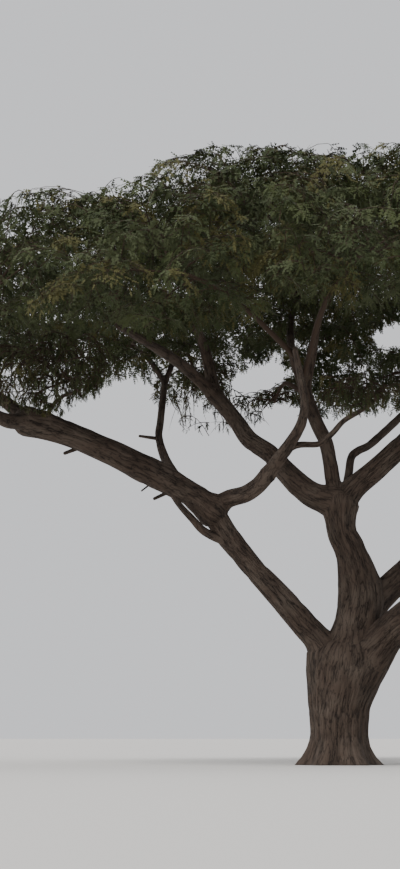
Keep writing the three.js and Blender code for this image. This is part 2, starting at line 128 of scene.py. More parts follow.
# name, parent, place on it, diameters, strides of (bearing, climb, length), snags
LIMBS: tuple[tuple, ...] = (
    ("left_bough", "trunk", 1300, (420, 375, 300, 330),
     ((-174, 50, 890), (-163, 47, 410), (-164, 46, 410), (-162, 45, 370), (-161, 50, 620), (-161, 55, 370))),
    ("centre_stem", "trunk", 1500, (560, 600, 640, 600, 455, 420, 450),
     ((0, 78, 780), (0, 90, 330), (180, 75, 527), (169, 66, 270), (161, 83, 220), (56, 87, 220))),
    ("right_bough", "trunk", 1600, (430, 380, 290),
     ((17, 63, 730), (30, 42, 690), (35, 37, 1200), (37, 37, 830))),
    ("low_right_bough", "trunk", 1150, (570, 510, 440, 370, 310),
     ((-20, 47, 680), (-34, 42, 569), (-39, 33, 1176), (-40, 42, 1030))),
    ("outer_left_limb", "left_bough", 1, (380, 330, 375, 410, 375, 347, 333, 365, 400),
     ((-160, 37, 380), (-161, 29, 350), (-160, 24, 530), (-156, 23, 530), (-157, 19, 770), (-162, 15, 500)),
     ((0.28, -178, -26, 390, 60), (0.4, 176, -38, 330, 30), (0.73, -175, -22, 390, 66))),
    ("far_left_limb", "outer_left_limb", 1, (200, 95), ((144, 37, 430), (131, 27, 1340))),
    ("front_left_limb", "outer_left_limb", 1, (240, 95), ((-117, -5, 560), (-107, 7, 1270))),
    ("left_spur", "outer_left_limb", 0.93, (75, 42), ((-45, 42, 500), (-35, 16, 360))),
    ("under_strip", "left_bough", 0.78, (150, 112, 75),
     ((-150, 18, 510), (-153, 41, 280), (-165, 46, 230), (169, 54, 190))),
    ("upright_limb", "outer_left_limb", 0.14, (170, 110, 100),
     ((133, 38, 500), (112, 35, 590), (102, 38, 580), (88, 33, 480), (87, 36, 1230)),
     ((0.58, 178, 8, 290, 54),)),
    ("upright_left_fork", "upright_limb", 1, (90, 60), ((115, 36, 680), (117, 28, 770))),
    ("upright_right_fork", "upright_limb", 1, (90, 60), ((78, 33, 610), (78, 28, 1040))),
    ("crossing_limb", "left_bough", 1, (260, 230),
     ((-22, 37, 270), (-39, 11, 360), (-40, 26, 260), (-46, 36, 220))),
    ("rising_limb", "crossing_limb", 1, (210, 115, 80),
     ((-58, 34, 310), (-67, 28, 800), (-80, 24, 330), (-90, 19, 580), (-97, 19, 1500))),
    ("slender_limb", "rising_limb", 0.27, (95, 75, 55),
     ((-34, 18, 220), (-8, 3, 320), (-23, 37, 230), (-42, 38, 250), (-55, 16, 440), (-65, 15, 570))),
    ("upper_left_bough", "centre_stem", 1, (370, 340, 270, 240, 235),
     ((175, 11, 250), (169, 27, 280), (153, 42, 480), (145, 46, 350), (147, 33, 440), (134, 47, 400),
      (131, 42, 690))),
    ("crown_left_limb", "upper_left_bough", 1, (200, 110),
     ((133, 76, 540), (-147, 67, 470), (-140, 48, 470))),
    ("low_left_limb", "upper_left_bough", 1, (190, 90), ((-133, 28, 770), (-120, 13, 600), (-114, 7, 1540))),
    ("centre_bough", "centre_stem", 1, (215, 205, 185),
     ((168, 70, 300), (139, 79, 320), (131, 73, 310), (128, 57, 390), (122, 59, 590))),
    ("back_centre_limb", "centre_bough", 1, (150, 80), ((103, 41, 810), (91, 34, 1200), (82, 29, 1160))),
    ("top_centre_limb", "centre_bough", 1, (150, 80), ((-64, 62, 480), (-78, 55, 530), (-68, 48, 490))),
    ("upper_right_bough", "centre_stem", 1, (330, 310, 260),
     ((-7, 46, 360), (-5, 40, 270), (-15, 40, 250), (-12, 42, 340), (-20, 38, 730), (-17, 46, 510))),
    ("crown_right_limb", "upper_right_bough", 1, (150, 80), ((-70, 30, 610), (-83, 19, 750))),
    ("mid_right_limb", "upper_right_bough", 1, (160, 80), ((52, 31, 890), (49, 31, 920))),
    ("slim_right_limb", "upper_right_bough", 0.03, (120, 115, 75),
     ((62, 66, 430), (77, 47, 380), (58, 28, 200), (60, 17, 360), (60, 25, 450), (66, 24, 2210),
      (74, 26, 1050))),
    ("back_right_limb", "right_bough", 1, (190, 80), ((57, 33, 1130), (63, 30, 1180), (51, 32, 1040))),
    ("far_right_limb", "right_bough", 1, (190, 80), ((-13, 51, 730), (-9, 43, 870), (14, 31, 970))),
    ("outer_right_limb", "low_right_bough", 1, (240, 95), ((-28, 34, 1040), (-19, 27, 1020), (-16, 28, 840))),
    ("front_right_limb", "low_right_bough", 1, (200, 80), ((-82, 29, 1280), (-87, 30, 1150), (-68, 30, 500))),
)
COLLAR = 0.16  # how much thicker a limb is at its foot
COLLAR_FADE = 1.6  # how fast that fades with each diameter of the way
SNAG_TAPER = (1.15, 0.75)  # a stub's thickness at its foot and its end, as shares of its diameter

CROWN_RADIUS, CROWN_TOP, CROWN_FALL = 7200, 9000, 2100
VALLEYS = (  # valleys across the dome: a place along X, a half width and a depth
    (-3500, 420, 370),
    (-2500, 700, 160),
    (-400, 650, 260),
    (700, 450, 140),
    (1900, 600, 200),
    (3900, 500, 300),
)
CROWN_RINGS = (  # name, count, reach, first bearing, half width, half height, sprays on a twig
    ("rim", 12, 5620, 0, 1850, 900, 5),
    ("middle", 8, 3200, 22, 1850, 1140, 6),
    ("top", 3, 1250, 40, 1650, 1000, 6),
)
RING_SHUFFLE = {"bearing": 4, "reach": 160, "size": 0.1, "lift": 110}
RING_SEED = 1000  # sets the rings' numbers apart
HANGING_MASSES = (  # name, limb, bearing, distance and rise from its tip, half width, half height
    ("hanging_left", "left_spur", 180, 380, 260, 950, 640),
    ("hanging_back_left", "upright_right_fork", 40, 260, -850, 1050, 620),
    ("hanging_centre", "centre_bough", 110, 1380, -60, 680, 360),
    ("hanging_front_right", "slender_limb", 180, 330, -10, 700, 330),
    ("hanging_back_right", "slim_right_limb", 180, 800, -60, 900, 420),
    ("hanging_right", "crown_right_limb", 0, 700, -250, 850, 430),
)
HANGING_SPRAYS = 5
SLIGHT_LIMBS = ("under_strip", "left_spur", "slender_limb")  # too thin to carry a mass of a ring
SQUARENESS = 4  # the power in the rounded outline of a mass's space
FLATNESS = 1.6  # how much more a height counts than a width where two masses meet

STEM_GIRTH = (84, 44)
STEM_POINTS = 20  # the points that its length is measured over
STEM_START = 0.97  # the share of its limb where the first stem leaves it
STEM_STEP = 0.09  # how much sooner each further stem does
STEM_END = 0.92  # how far a stem goes towards the middle of its mass
STEM_BEND = 0.22  # how far it swings out, as a share of its length
STEM_CROWDING = 450  # how much farther off a limb counts for each stem that it carries
TWIG_GIRTH = (34, 14)
TWIG_COUNT = 5
TWIG_LEAST = 240  # the least length of a twig
TWIG_SPREAD = 0.45  # the most of the mass's half width that the twigs' feet are spread over
TWIG_LOWEST, TWIG_HIGHEST = 0.3, 0.98  # the shares of the stem that they stand between
TWIG_TURN = 47  # the bearing between the first twigs of one mass and the next
TWIG_SHARE = 0.6  # how much of the room before it a twig takes
TWIG_PLAY = {"bearing": 12, "climb": 8}
SPRAY_LENGTH, SPRAY_LEAST = 1400, 420
SPRAY_WIDTH = 0.7  # as a share of its length
SPRAY_SWING = 58  # the bearing between a spray and its twig
SPRAY_SIDES, SPRAY_TIP = (0.35, 0.8), 0.95  # the shares of a twig where side sprays and the last one stand
SPRAY_CLIMB = 0.6  # how much of its twig's climb a spray keeps
SPRAY_PLAY = {"swing": 12, "climb": 16, "roll": 60, "length": 0.15}
GOLDEN_ANGLE = 137.5
PROBE = 60  # the step in which room is looked for along a line
CLEARANCE = 26  # the least way between a twig and a limb or the end of its space


# What the photograph shows of the crown

VIEWPOINT = (-2014, -40000, 500)  # the place that the photograph was taken from
SKY_GAPS = (  # open places seen from there: middle along X, middle height and half sizes, at y = 0
    (-1250, 5560, 300, 190),
    (-1000, 5690, 270, 170),
    (-3275, 4940, 845, 370),
    (-3066, 5366, 450, 232),
    (797, 6221, 260, 190),
    (1010, 6330, 240, 160),
    (539, 4940, 667, 174),
    (-850, 5110, 260, 140),
    (-2560, 5080, 170, 160),
    (-3857, 8461, 200, 210),
    (-3051, 8788, 360, 230),
    (-4420, 8530, 420, 160),
    (-1100, 9180, 370, 150),
    (780, 9200, 260, 160),
)
SKY_RAGGED = (0.55, 1.6)  # the least and the most that an open place is stretched by noise
SKY_GRAIN = 140  # the size of that noise's cells
MASS_GAPS = {  # the widest gap between sprays in masses that the photograph shows dense or thin
    "rim_mass_04": 250,
    "middle_mass_02": 270,
    "middle_mass_03": 240,
    "hanging_left_mass": 200,
    "hanging_back_left_mass": 360,
    "hanging_centre_mass": 330,
}


# How the finer growth goes beyond the solids' rule

ARCH_LEVEL = 0.85  # how much of its lean an axis bows by, so that its tip ends near level
BOUND_WAVE = 340  # how far the bounds between masses wave to and fro
BOUND_GRAIN = 420  # the size of those waves
WOOD_PLACES = np.linspace(0.2, 1, 6)  # the shares of a twig or an axis that count as wood near a gap
SHOOT_PLACES = np.array([0.5, 1.0])  # the shares of a shoot that have to lie inside


# Helpers on whole arrays


def mix(low: float, high: float, share: float | Array) -> float | Array:
    """The value a share of the way from low to high."""
    return low + (high - low) * share


def heading(bearing: float | Array, climb: float | Array) -> Array:
    """Unit vectors of bearings from +X towards +Y and climbs above the level, in degrees."""
    turn, rise = np.broadcast_arrays(np.radians(bearing), np.radians(climb))
    return np.stack([np.cos(rise) * np.cos(turn), np.cos(rise) * np.sin(turn), np.sin(rise)], axis=-1)


def unit(vectors: Array) -> Array:
    """The vectors, each divided by its length."""
    return vectors / np.maximum(np.linalg.norm(vectors, axis=-1, keepdims=True), TINY)


def turns_round(count: int) -> Array:
    """Evenly spaced angles round a circle, from nothing."""
    return 2 * np.pi * np.arange(count) / count


def along_values(values: Sequence[float], share: float | Array) -> Array:
    """The value at a share of the way through evenly spaced values, on straight lines between them."""
    return np.interp(share, np.linspace(0, 1, len(values)), values)


def value_noise(points: Array, seed: int) -> Array:
    """Smooth noise from 0 to 1.

    Each whole-number point of space has a hashed value, and a point between takes the eased mean of the eight
    round it, where ease is three squares less two cubes of the part of the way.

    Args:
        points: Positions, in cells, with the three coordinates last.
        seed: Picks the pattern.

    Returns:
        One number for each position.
    """
    cell = np.floor(points).astype(np.int64)
    part = points - cell
    ease = part * part * (3 - 2 * part)
    total = np.zeros(points.shape[:-1])
    for corner in np.ndindex(2, 2, 2):
        spot = (cell + np.array(corner)) * CELL_PRIMES
        key = (spot[..., 0] ^ spot[..., 1] ^ spot[..., 2] ^ seed * SEED_PRIME) & MASK
        key = (key ^ (key >> 13)) * STIR_PRIME & MASK
        value = ((key ^ (key >> 16)) & NOISE_LEVELS) / NOISE_LEVELS
        total += value * np.prod(np.where(corner, ease, 1 - ease), axis=-1)
    return total


class Stream:
    """A repeatable stream of numbers from -1 to 1, the same as the solids use."""

    def __init__(self, seed: int) -> None:
        """Starts the stream at a seed."""
        self.state = seed & MASK

    def draw(self) -> float:
        """Steps the state on, and stirs its bits by shifts and products.

        Returns:
            The next number.
        """
        self.state = (self.state + STREAM_STEP) & MASK
        t = ((self.state ^ (self.state >> 15)) * (self.state | 1)) & MASK
        t ^= (t + (((t ^ (t >> 7)) * (t | STREAM_BITS)) & MASK)) & MASK
        return ((t ^ (t >> 14)) & MASK) / 2**31 - 1


class Curve:
    """A smooth curve through points: centripetal Catmull-Rom, a cubic between each two neighbours."""

    def __init__(self, points: Array) -> None:
        """Works out each stretch's tangents at its two ends.

        Args:
            points: The points that the curve passes, one to a row.
        """
        first, last = 2 * points[0] - points[1], 2 * points[-1] - points[-2]
        p = np.concatenate([[first], points, [last]])
        step = np.sqrt(np.linalg.norm(np.diff(p, axis=0), axis=1))[:, None]
        d0, d1, d2 = step[:-2], step[1:-1], step[2:]
        p0, p1, p2, p3 = p[:-3], p[1:-2], p[2:-1], p[3:]
        self.start, self.end = p1, p2
        self.leave = ((p1 - p0) / d0 - (p2 - p0) / (d0 + d1) + (p2 - p1) / d1) * d1
        self.arrive = ((p2 - p1) / d1 - (p3 - p1) / (d1 + d2) + (p3 - p2) / d2) * d1

    @classmethod
    def walk(cls, start: Array, strides: Iterable[tuple[float, float, float]]) -> Curve:
        """The curve from a start along strides of a bearing, a climb and a length."""
        steps = [heading(bearing, climb) * length for bearing, climb, length in strides]
        return cls(np.concatenate([[start], start + np.cumsum(steps, axis=0)]))

    def at(self, share: float | Array) -> Array:
        """The points at shares of the way.

        Args:
            share: The shares, where each stride counts the same.

        Returns:
            The points, with the three coordinates last.
        """
        place = np.asarray(share, float) * len(self.start)
        i = np.clip(place.astype(int), 0, len(self.start) - 1)
        w = (place - i)[..., None]
        p, q, a, b = self.start[i], self.end[i], self.leave[i], self.arrive[i]
        return p + a * w + (3 * (q - p) - 2 * a - b) * w**2 + (2 * (p - q) + a + b) * w**3

    def direction(self, share: float) -> Array:
        """The direction at a share of the way."""
        low, high = max(share - NUDGE, 0), min(share + NUDGE, 1)
        return unit(self.at(high) - self.at(low))


@dataclass
class Shape:
    """Vertices in millimetres, and faces that all have one number of corners.

    Args:
        points: The vertices, one to a row.
        faces: For each face, the numbers of its corners.
        kinds: For each face, the number of its material.
    """

    points: Array
    faces: Array
    kinds: Array | None = None


def joined(shapes: Sequence[Shape]) -> Shape:
    """Puts shapes into one, with the corners of each counted on from those before it.

    Args:
        shapes: The shapes, whose faces all have one number of corners.

    Returns:
        One shape.
    """
    starts = np.cumsum([0, *(len(shape.points) for shape in shapes[:-1])])
    return Shape(
        np.concatenate([shape.points for shape in shapes]),
        np.concatenate([shape.faces + start for shape, start in zip(shapes, starts)]),
    )


def make_piece(
    name: str, points: Array, faces: Sequence[Array], kinds: Array | None = None
) -> bpy.types.Object:
    """Makes an object of a mesh, smooth-shaded, with its place in its mesh.

    Args:
        name: The object's name.
        points: The vertices, in millimetres.
        faces: Arrays of faces, each with its own number of corners.
        kinds: For each face, in order, the number of its material.

    Returns:
        The object, linked to the scene.
    """
    mesh = bpy.data.meshes.new(name)
    mesh.vertices.add(len(points))
    mesh.vertices.foreach_set("co", (points * METRE).astype(np.float32).ravel())
    corners = np.concatenate([part.ravel() for part in faces]).astype(np.int32)
    sizes = np.concatenate([np.full(len(part), part.shape[1]) for part in faces])
    mesh.loops.add(len(corners))
    mesh.loops.foreach_set("vertex_index", corners)
    mesh.polygons.add(len(sizes))
    mesh.polygons.foreach_set("loop_start", (np.cumsum(sizes) - sizes).astype(np.int32))
    if kinds is not None:
        mesh.polygons.foreach_set("material_index", kinds.astype(np.int32))
    mesh.update(calc_edges=True)
    mesh.validate()
    piece = bpy.data.objects.new(name, mesh)
    bpy.context.collection.objects.link(piece)
    return piece


def tube_faces(rings: int, sides: int) -> Array:
    """Four-cornered faces round a stack of rings, outward when the rings turn right-handed on their way.

    Args:
        rings: The number of rings.
        sides: The points of each.

    Returns:
        One face to a row.
    """
    ring, side = np.meshgrid(np.arange(rings - 1), np.arange(sides), indexing="ij")
    a, b = ring * sides + side, ring * sides + (side + 1) % sides
    return np.stack([a, b, b + sides, a + sides], axis=-1).reshape(-1, 4)


def thin_tubes(paths: Array, girth: tuple[float, float], sides: int) -> Shape:
    """Closed thin tubes along many paths at once, which end in points.

    A ring's point is the path's point, plus the radius times the cosine of the turn along one side direction
    and its sine along the other. The first side direction is level, made square to the path.

    Args:
        paths: Tubes by points by the three coordinates. Each path bends in an upright plane.
        girth: The diameters at their feet and their tips.
        sides: Sides of each tube.

    Returns:
        The tubes as one shape of three-cornered faces.
    """
    tubes, rings = paths.shape[:2]
    radii = np.linspace(*girth, rings) / 2
    level = unit(np.cross(paths[:, -1] - paths[:, 0], UP) + SLIGHT)[:, None]
    tangent = unit(np.gradient(paths, axis=1))
    across = unit(level - np.sum(level * tangent, axis=-1, keepdims=True) * tangent)
    over = np.cross(tangent, across)
    turn = turns_round(sides)[:, None]
    spoke = np.cos(turn) * across[:, :, None] + np.sin(turn) * over[:, :, None]
    points = (paths[:, :, None] + radii[:, None, None] * spoke)[:, :-1].reshape(tubes, -1, 3)
    points = np.concatenate([points, paths[:, -1:]], axis=1)
    quads = tube_faces(rings - 1, sides)
    fan = np.arange(1, sides - 1)
    foot = np.stack([np.zeros_like(fan), fan + 1, fan], axis=-1)
    side = np.arange(sides)
    last = (rings - 2) * sides
    tip = np.stack([last + side, last + (side + 1) % sides, np.full(sides, last + sides)], axis=-1)
    one = np.concatenate([quads[:, [0, 1, 2]], quads[:, [0, 2, 3]], foot, tip])
    starts = np.arange(tubes) * points.shape[1]
    return Shape(points.reshape(-1, 3), (one[None] + starts[:, None, None]).reshape(-1, 3))


# The trunk and the limbs


@dataclass
class Spine:
    """The middle line of a limb in small steps.

    Args:
        points: The steps' places.
        radii: The limb's radius at each.
        runs: The way from the foot to each.
    """

    points: Array
    radii: Array
    runs: Array

    @property
    def tangents(self) -> Array:
        """The direction at each step."""
        return unit(np.gradient(self.points, axis=0))


@dataclass
class Surface:
    """The plain surface of the trunk or a limb, in rows and columns.

    Args:
        points: Rows by columns by the three coordinates.
        outward: The outward direction at each point.
        runs: The way along to each row.
        radii: The radius of each row.
        ways: The direction along at each row.
    """

    points: Array
    outward: Array
    runs: Array
    radii: Array
    ways: Array


@dataclass
class Skin:
    """The surface of the trunk or a limb with its bark.

    Args:
        points: Rows by columns by the three coordinates.
        height: The bark's height at each point, from 0 in a fissure to 1 on a ridge.
        grain: Each point's place in the bark's own space, which is drawn out along the limb.
    """

    points: Array
    height: Array
    grain: Array


@dataclass
class Limb:
    """One tapering limb, with the broken stubs on it.

    Args:
        name: The limb's name, which is its solid's.
        parent: What it grows from.
        at: A height on the trunk, or a share of its parent's length.
        girth: Diameters at even steps.
        way: Strides of a bearing, a climb and a length.
        snags: Stubs, each a share of the length, a bearing, a climb, a length and a diameter.
        step: The length of a step of its spine.
        fewest: The fewest points of its spine.
    """

    name: str
    parent: str
    at: float
    girth: tuple[float, ...]
    way: tuple[tuple[float, float, float], ...]
    snags: tuple[tuple[float, ...], ...] = ()
    step: float = 28
    fewest: int = 6
    curve: Curve = field(init=False)
    carried: int = field(init=False, default=0)  # how many stems of masses leave it

    def grow(self, foot: Array) -> None:
        """Lays the limb's curve from its foot."""
        self.curve = Curve.walk(foot, self.way)

    def spine(self, collar: float = COLLAR) -> Spine:
        """The limb's middle line, with a collar at its foot that fades as a power of e.

        Args:
            collar: How much thicker the foot is.

        Returns:
            The line in small steps.
        """
        length = sum(stride[2] for stride in self.way)
        points = self.curve.at(np.linspace(0, 1, max(int(length / self.step), self.fewest)))
        runs = np.concatenate([[0], np.cumsum(np.linalg.norm(np.diff(points, axis=0), axis=1))])
        swell = 1 + collar * np.exp(-COLLAR_FADE * runs / self.girth[0])
        return Spine(points, along_values(self.girth, runs / runs[-1]) / 2 * swell, runs)

    def stubs(self) -> list[Spine]:
        """Lays the limb's broken stubs, each a short limb without a collar.

        Returns:
            Their middle lines.
        """
        spines = []
        for share, bearing, climb, length, thickness in self.snags:
            girth = tuple(thickness * taper for taper in SNAG_TAPER)
            stub = Limb("", "", 0, girth, ((bearing, climb, length),))
            stub.grow(self.curve.at(share))
            spines.append(stub.spine(collar=0))
        return spines


@dataclass
class Trunk:
    """The trunk: an oval section that changes with height, with lobes that run out into the roots.

    Args:
        step: The height of a row of its mesh.
        column: The width of a column of its mesh at its widest.
        rows: Its sizes from the foot up, as the table of the trunk gives them.
    """

    step: float = 22
    column: float = 24
    rows: Array = field(default_factory=lambda: np.array(TRUNK_ROWS, float))

    @property
    def top(self) -> float:
        """The height of its upper end."""
        return float(self.rows[-1, 0])

    def section(self, height: float | Array) -> tuple[Array, Array, Array]:
        """The section at heights, eased between the rows by a cubic curve.

        Args:
            height: The heights.

        Returns:
            The half widths, the half depths and the shifts to the right.
        """
        curve = Curve(self.rows[:, 1:])
        place = np.interp(height, self.rows[:, 0], np.arange(len(self.rows))) / (len(self.rows) - 1)
        return tuple(np.moveaxis(curve.at(place), -1, 0))

    def centre(self, height: float) -> Array:
        """The axis at a height, on a straight line between the rows above and below it."""
        return np.array([np.interp(height, self.rows[:, 0], self.rows[:, 3]), 0.0, height])

    def distance(self, points: Array) -> Array:
        """About how far points lie outside the trunk, from how many times its oval section would hold them.

        Args:
            points: The points, one to a row.

        Returns:
            One way for each point, negative inside.
        """
        wide, deep, shift = self.section(np.clip(points[:, 2], 0, self.top))
        times = np.hypot((points[:, 0] - shift) / wide, points[:, 1] / deep)
        over = np.maximum(points[:, 2] - self.top, 0)
        return np.maximum((times - 1) * np.minimum(wide, deep), over)

    def surface(self) -> Surface:
        """The trunk's surface before its bark.

        A point is the axis, plus the half width times the cosine of the turn and the half depth times its
        sine, both swelled by the root lobes, which fade upwards as a power of e.

        Returns:
            The surface.
        """
        heights = np.linspace(0, self.top, int(self.top / self.step))
        wide, deep, shift = self.section(heights)
        turn = turns_round(int(2 * math.pi * wide.max() / self.column))
        lobes = ROOT_LOBE_DEPTH * np.exp(-heights / ROOT_LOBE_FADE)[:, None] * np.cos(ROOT_LOBES * turn)
        across = shift[:, None] + wide[:, None] * (1 + lobes) * np.cos(turn)
        away = deep[:, None] * (1 + lobes) * np.sin(turn)
        points = np.stack([across, away, np.broadcast_to(heights[:, None], across.shape)], axis=-1)
        outward = np.broadcast_to(np.stack([np.cos(turn), np.sin(turn), 0 * turn], axis=-1), points.shape)
        return Surface(points, outward, heights, (wide + deep) / 2, np.broadcast_to(UP, (len(heights), 3)))


@dataclass
class Timber:
    """The trunk and all its limbs, and the bark that covers them.

    Args:
        column: The width of a column of a limb's mesh.
        fewest_columns: The fewest columns of a limb's mesh.
        steep: How upright a limb is, up to 1, past which its columns are counted from +X.
        cap_turns: The angles of the rings that round off a limb's end, in degrees.
        ridge_width: The size of the bark's ridges across the limb.
        ridge_length: Their size along it.
        grain_shift: Sets limbs with names of different lengths apart in the bark's noise.
        sharpness: How steeply a fissure's sides rise.
        depth: The depth of the fissures between them, as a share of the limb's radius.
        deepest: Their depth on the trunk.
        level: The bark's height that lies at the solid's surface.
        swell: How far knots and hollows stand out, as a share of the radius.
        knot_scale: The size of the knots and hollows, as a share of the limb's mean radius.
        knot_least: What is added to that.
        web: How far the fillet between two limbs reaches, as a share of the radius.
        web_radius: The largest radius that counts for it.
        web_gain: How quickly the fillet fills out as two limbs turn out of line.
        web_least: The least of it, for two limbs in line.
        trunk_line: How far any limb counts as in line with the trunk.
        near: The way past which a limb doesn't count as near.
        batch: How many points are compared with the limbs at a time.
        trunk: The trunk.
    """

    column: float = 21
    fewest_columns: int = 10
    steep: float = 0.95
    cap_turns: tuple[float, ...] = (20, 40, 60, 78)
    ridge_width: float = 62
    ridge_length: float = 360
    grain_shift: float = 7.3
    sharpness: float = 2.6
    depth: float = 0.06
    deepest: float = 17
    level: float = 0.6
    swell: float = 0.07
    knot_scale: float = 2.4
    knot_least: float = 60
    web: float = 0.8
    web_radius: float = 260
    web_gain: float = 2.5
    web_least: float = 0.1
    trunk_line: float = 0.3
    near: float = 400
    batch: int = 2000
    trunk: Trunk = field(default_factory=Trunk)
    limbs: dict[str, Limb] = field(init=False, default_factory=dict)
    spines: dict[str, Spine] = field(init=False, default_factory=dict)

    def grow(self) -> None:
        """Grows each limb from its parent."""
        for plan in LIMBS:
            limb = Limb(*plan)
            on_trunk = limb.parent == "trunk"
            limb.grow(self.trunk.centre(limb.at) if on_trunk else self.limbs[limb.parent].curve.at(limb.at))
            self.limbs[limb.name] = limb
            self.spines[limb.name] = limb.spine()

    def nearest(self, points: Array, but: str = "") -> tuple[Array, Array]:
        """How far points lie outside the nearest limb, and that limb's direction there.

        Args:
            points: The places, one to a row.
            but: The limb that is left out.

        Returns:
            The distances, negative inside, and the directions.
        """
        spines = [spine for name, spine in self.spines.items() if name != but]
        centres = np.concatenate([spine.points for spine in spines]).astype(np.float32)
        radii = np.concatenate([spine.radii for spine in spines]).astype(np.float32)
        ways = np.concatenate([spine.tangents for spine in spines])
        low, high = points.min(axis=0) - self.near, points.max(axis=0) + self.near
        close = np.all((centres > low) & (centres < high), axis=1)
        if not close.any():
            return np.full(len(points), float(self.near)), np.broadcast_to(UP, points.shape)
        gaps, directions = [], []
        for part in np.array_split(points.astype(np.float32), max(len(points) // self.batch, 1)):
            apart = part[:, None] - centres[close][None]
            gap = np.sqrt(np.einsum("ijk,ijk->ij", apart, apart)) - radii[close]
            best = gap.argmin(axis=1)
            gaps.append(gap[np.arange(len(part)), best])
            directions.append(ways[close][best])
        return np.concatenate(gaps), np.concatenate(directions)

    def grain(self, surface: Surface) -> Array:
        """A surface's places in the bark's own space: round in ridge widths, and along in ridge lengths.

        Args:
            surface: The plain surface.

        Returns:
            Rows by columns by three coordinates.
        """
        rows, columns = surface.points.shape[:2]
        turn = turns_round(columns)
        round_it = surface.radii.mean() / self.ridge_width * np.stack([np.cos(turn), np.sin(turn)], axis=-1)
        along = np.broadcast_to((surface.runs / self.ridge_length)[:, None, None], (rows, columns, 1))
        return np.concatenate([np.broadcast_to(round_it, (rows, columns, 2)), along], axis=-1)

    def fillet(self, name: str, surface: Surface) -> Array:
        """How far the surface swells towards the limbs that it meets.

        It is a quarter of the web times the square of how near the next limb is, and less where the two run
        side by side.

        Args:
            name: The limb's name, or the trunk's.
            surface: Its plain surface.

        Returns:
            One way for each point, rows by columns.
        """
        rows, columns = surface.points.shape[:2]
        flat = surface.points.reshape(-1, 3)
        gap, other = self.nearest(flat, name)
        in_line = np.abs(np.sum(np.repeat(surface.ways, columns, axis=0) * other, axis=1))
        if name != "trunk":
            to_trunk = self.trunk.distance(flat)
            in_line = np.where(to_trunk < gap, self.trunk_line, in_line)
            gap = np.minimum(gap, to_trunk)
        web = self.web * np.minimum(np.repeat(surface.radii, columns), self.web_radius)
        crossing = np.clip(self.web_gain * (1 - in_line), self.web_least, 1)
        fillet = crossing * web / 4 * np.clip(1 - np.abs(gap) / web, 0, 1) ** 2
        return fillet.reshape(rows, columns)

    def barked(self, name: str, surface: Surface) -> Skin:
        """Moves a surface out to its fillets, its knots and its bark.

        The bark's height is the way of a noise from its middle, in its own drawn-out space, so its ridges run
        along the limb between narrow fissures.

        Args:
            name: The limb's name, or the trunk's.
            surface: Its plain surface.

        Returns:
            The surface with its bark.
        """
        radii = surface.radii
        grain = self.grain(surface) + self.grain_shift * len(name)
        height = np.clip(self.sharpness * np.abs(2 * value_noise(grain, NOISE_SEEDS["bark"]) - 1), 0, 1)
        knot = self.knot_scale * radii.mean() + self.knot_least
        knots = value_noise(surface.points / knot, NOISE_SEEDS["knots"]) - 0.5
        relief = np.minimum(self.depth * radii, self.deepest)[:, None] * (height - self.level)
        move = self.fillet(name, surface) + relief + self.swell * radii[:, None] * knots
        return Skin(surface.points + surface.outward * move[..., None], height, grain)

    def closed(self, name: str, skin: Skin) -> bpy.types.Object:
        """Closes a surface at both ends with a point in the middle of its last row, and makes the piece.

        Args:
            name: The node that the piece replaces.
            skin: The surface.

        Returns:
            The piece, with the bark's height and grain as attributes.
        """
        rows, columns = skin.height.shape
        whole = self.with_ends(skin.points)
        side = np.arange(columns)
        after = (side + 1) % columns
        foot = np.stack([np.full(columns, rows * columns), after, side], axis=-1)
        last = (rows - 1) * columns
        tip = np.stack([np.full(columns, rows * columns + 1), last + side, last + after], axis=-1)
        piece = make_piece(f"{name}_bark", whole, [tube_faces(rows, columns), foot, tip])
        height = self.with_ends(skin.height[..., None])
        grain = self.with_ends(skin.grain)
        notes = piece.data.attributes
        notes.new("bark_height", "FLOAT", "POINT").data.foreach_set("value", height.ravel())
        notes.new("bark_grain", "FLOAT_VECTOR", "POINT").data.foreach_set("vector", grain.ravel())
        return piece

    @staticmethod
    def with_ends(values: Array) -> Array:
        """The values of all points in one column, and after them the means of the first and the last row."""
        return np.concatenate([values.reshape(-1, values.shape[-1]), values[[0, -1]].mean(axis=1)])

    def rounded(self, spine: Spine) -> Spine:
        """Rounds a spine off at both ends by added steps, where the radius falls off as a ball's does.

        Args:
            spine: The spine.

        Returns:
            The longer spine.
        """
        turns = np.radians(self.cap_turns)
        first, last = spine.tangents[0], spine.tangents[-1]
        back, on = spine.radii[0] * np.sin(turns)[::-1], spine.radii[-1] * np.sin(turns)
        foot, tip = spine.points[0] - back[:, None] * first, spine.points[-1] + on[:, None] * last
        foot_radii, tip_radii = spine.radii[0] * np.cos(turns)[::-1], spine.radii[-1] * np.cos(turns)
        return Spine(
            np.concatenate([foot, spine.points, tip]),
            np.concatenate([foot_radii, spine.radii, tip_radii]),
            np.concatenate([-back, spine.runs, spine.runs[-1] + on]),
        )

    def limb_surface(self, spine: Spine) -> Surface:
        """A round tube on a spine.

        A point is the spine's, plus the radius times the cosine of the turn along one side direction and its
        sine along the other. The side direction is carried from ring to ring and kept square to the spine.

        Args:
            spine: The limb's middle line, with its rounded ends.

        Returns:
            The surface.
        """
        ways = spine.tangents
        caps = len(self.cap_turns)
        ways[:caps] = ways[caps]
        ways[-caps:] = ways[-caps - 1]
        side = np.cross(UP, ways[0]) if abs(ways[0][2]) < self.steep else np.array([1.0, 0.0, 0.0])
        sides = []
        for way in ways:
            side = unit(side - side.dot(way) * way)
            sides.append(side)
        across = np.array(sides)
        over = np.cross(ways, across)
        columns = max(int(2 * math.pi * spine.radii.max() / self.column), self.fewest_columns)
        turn = turns_round(columns)[:, None]
        outward = np.cos(turn) * across[:, None] + np.sin(turn) * over[:, None]
        points = spine.points[:, None] + spine.radii[:, None, None] * outward
        return Surface(points, outward, spine.runs, spine.radii, ways)

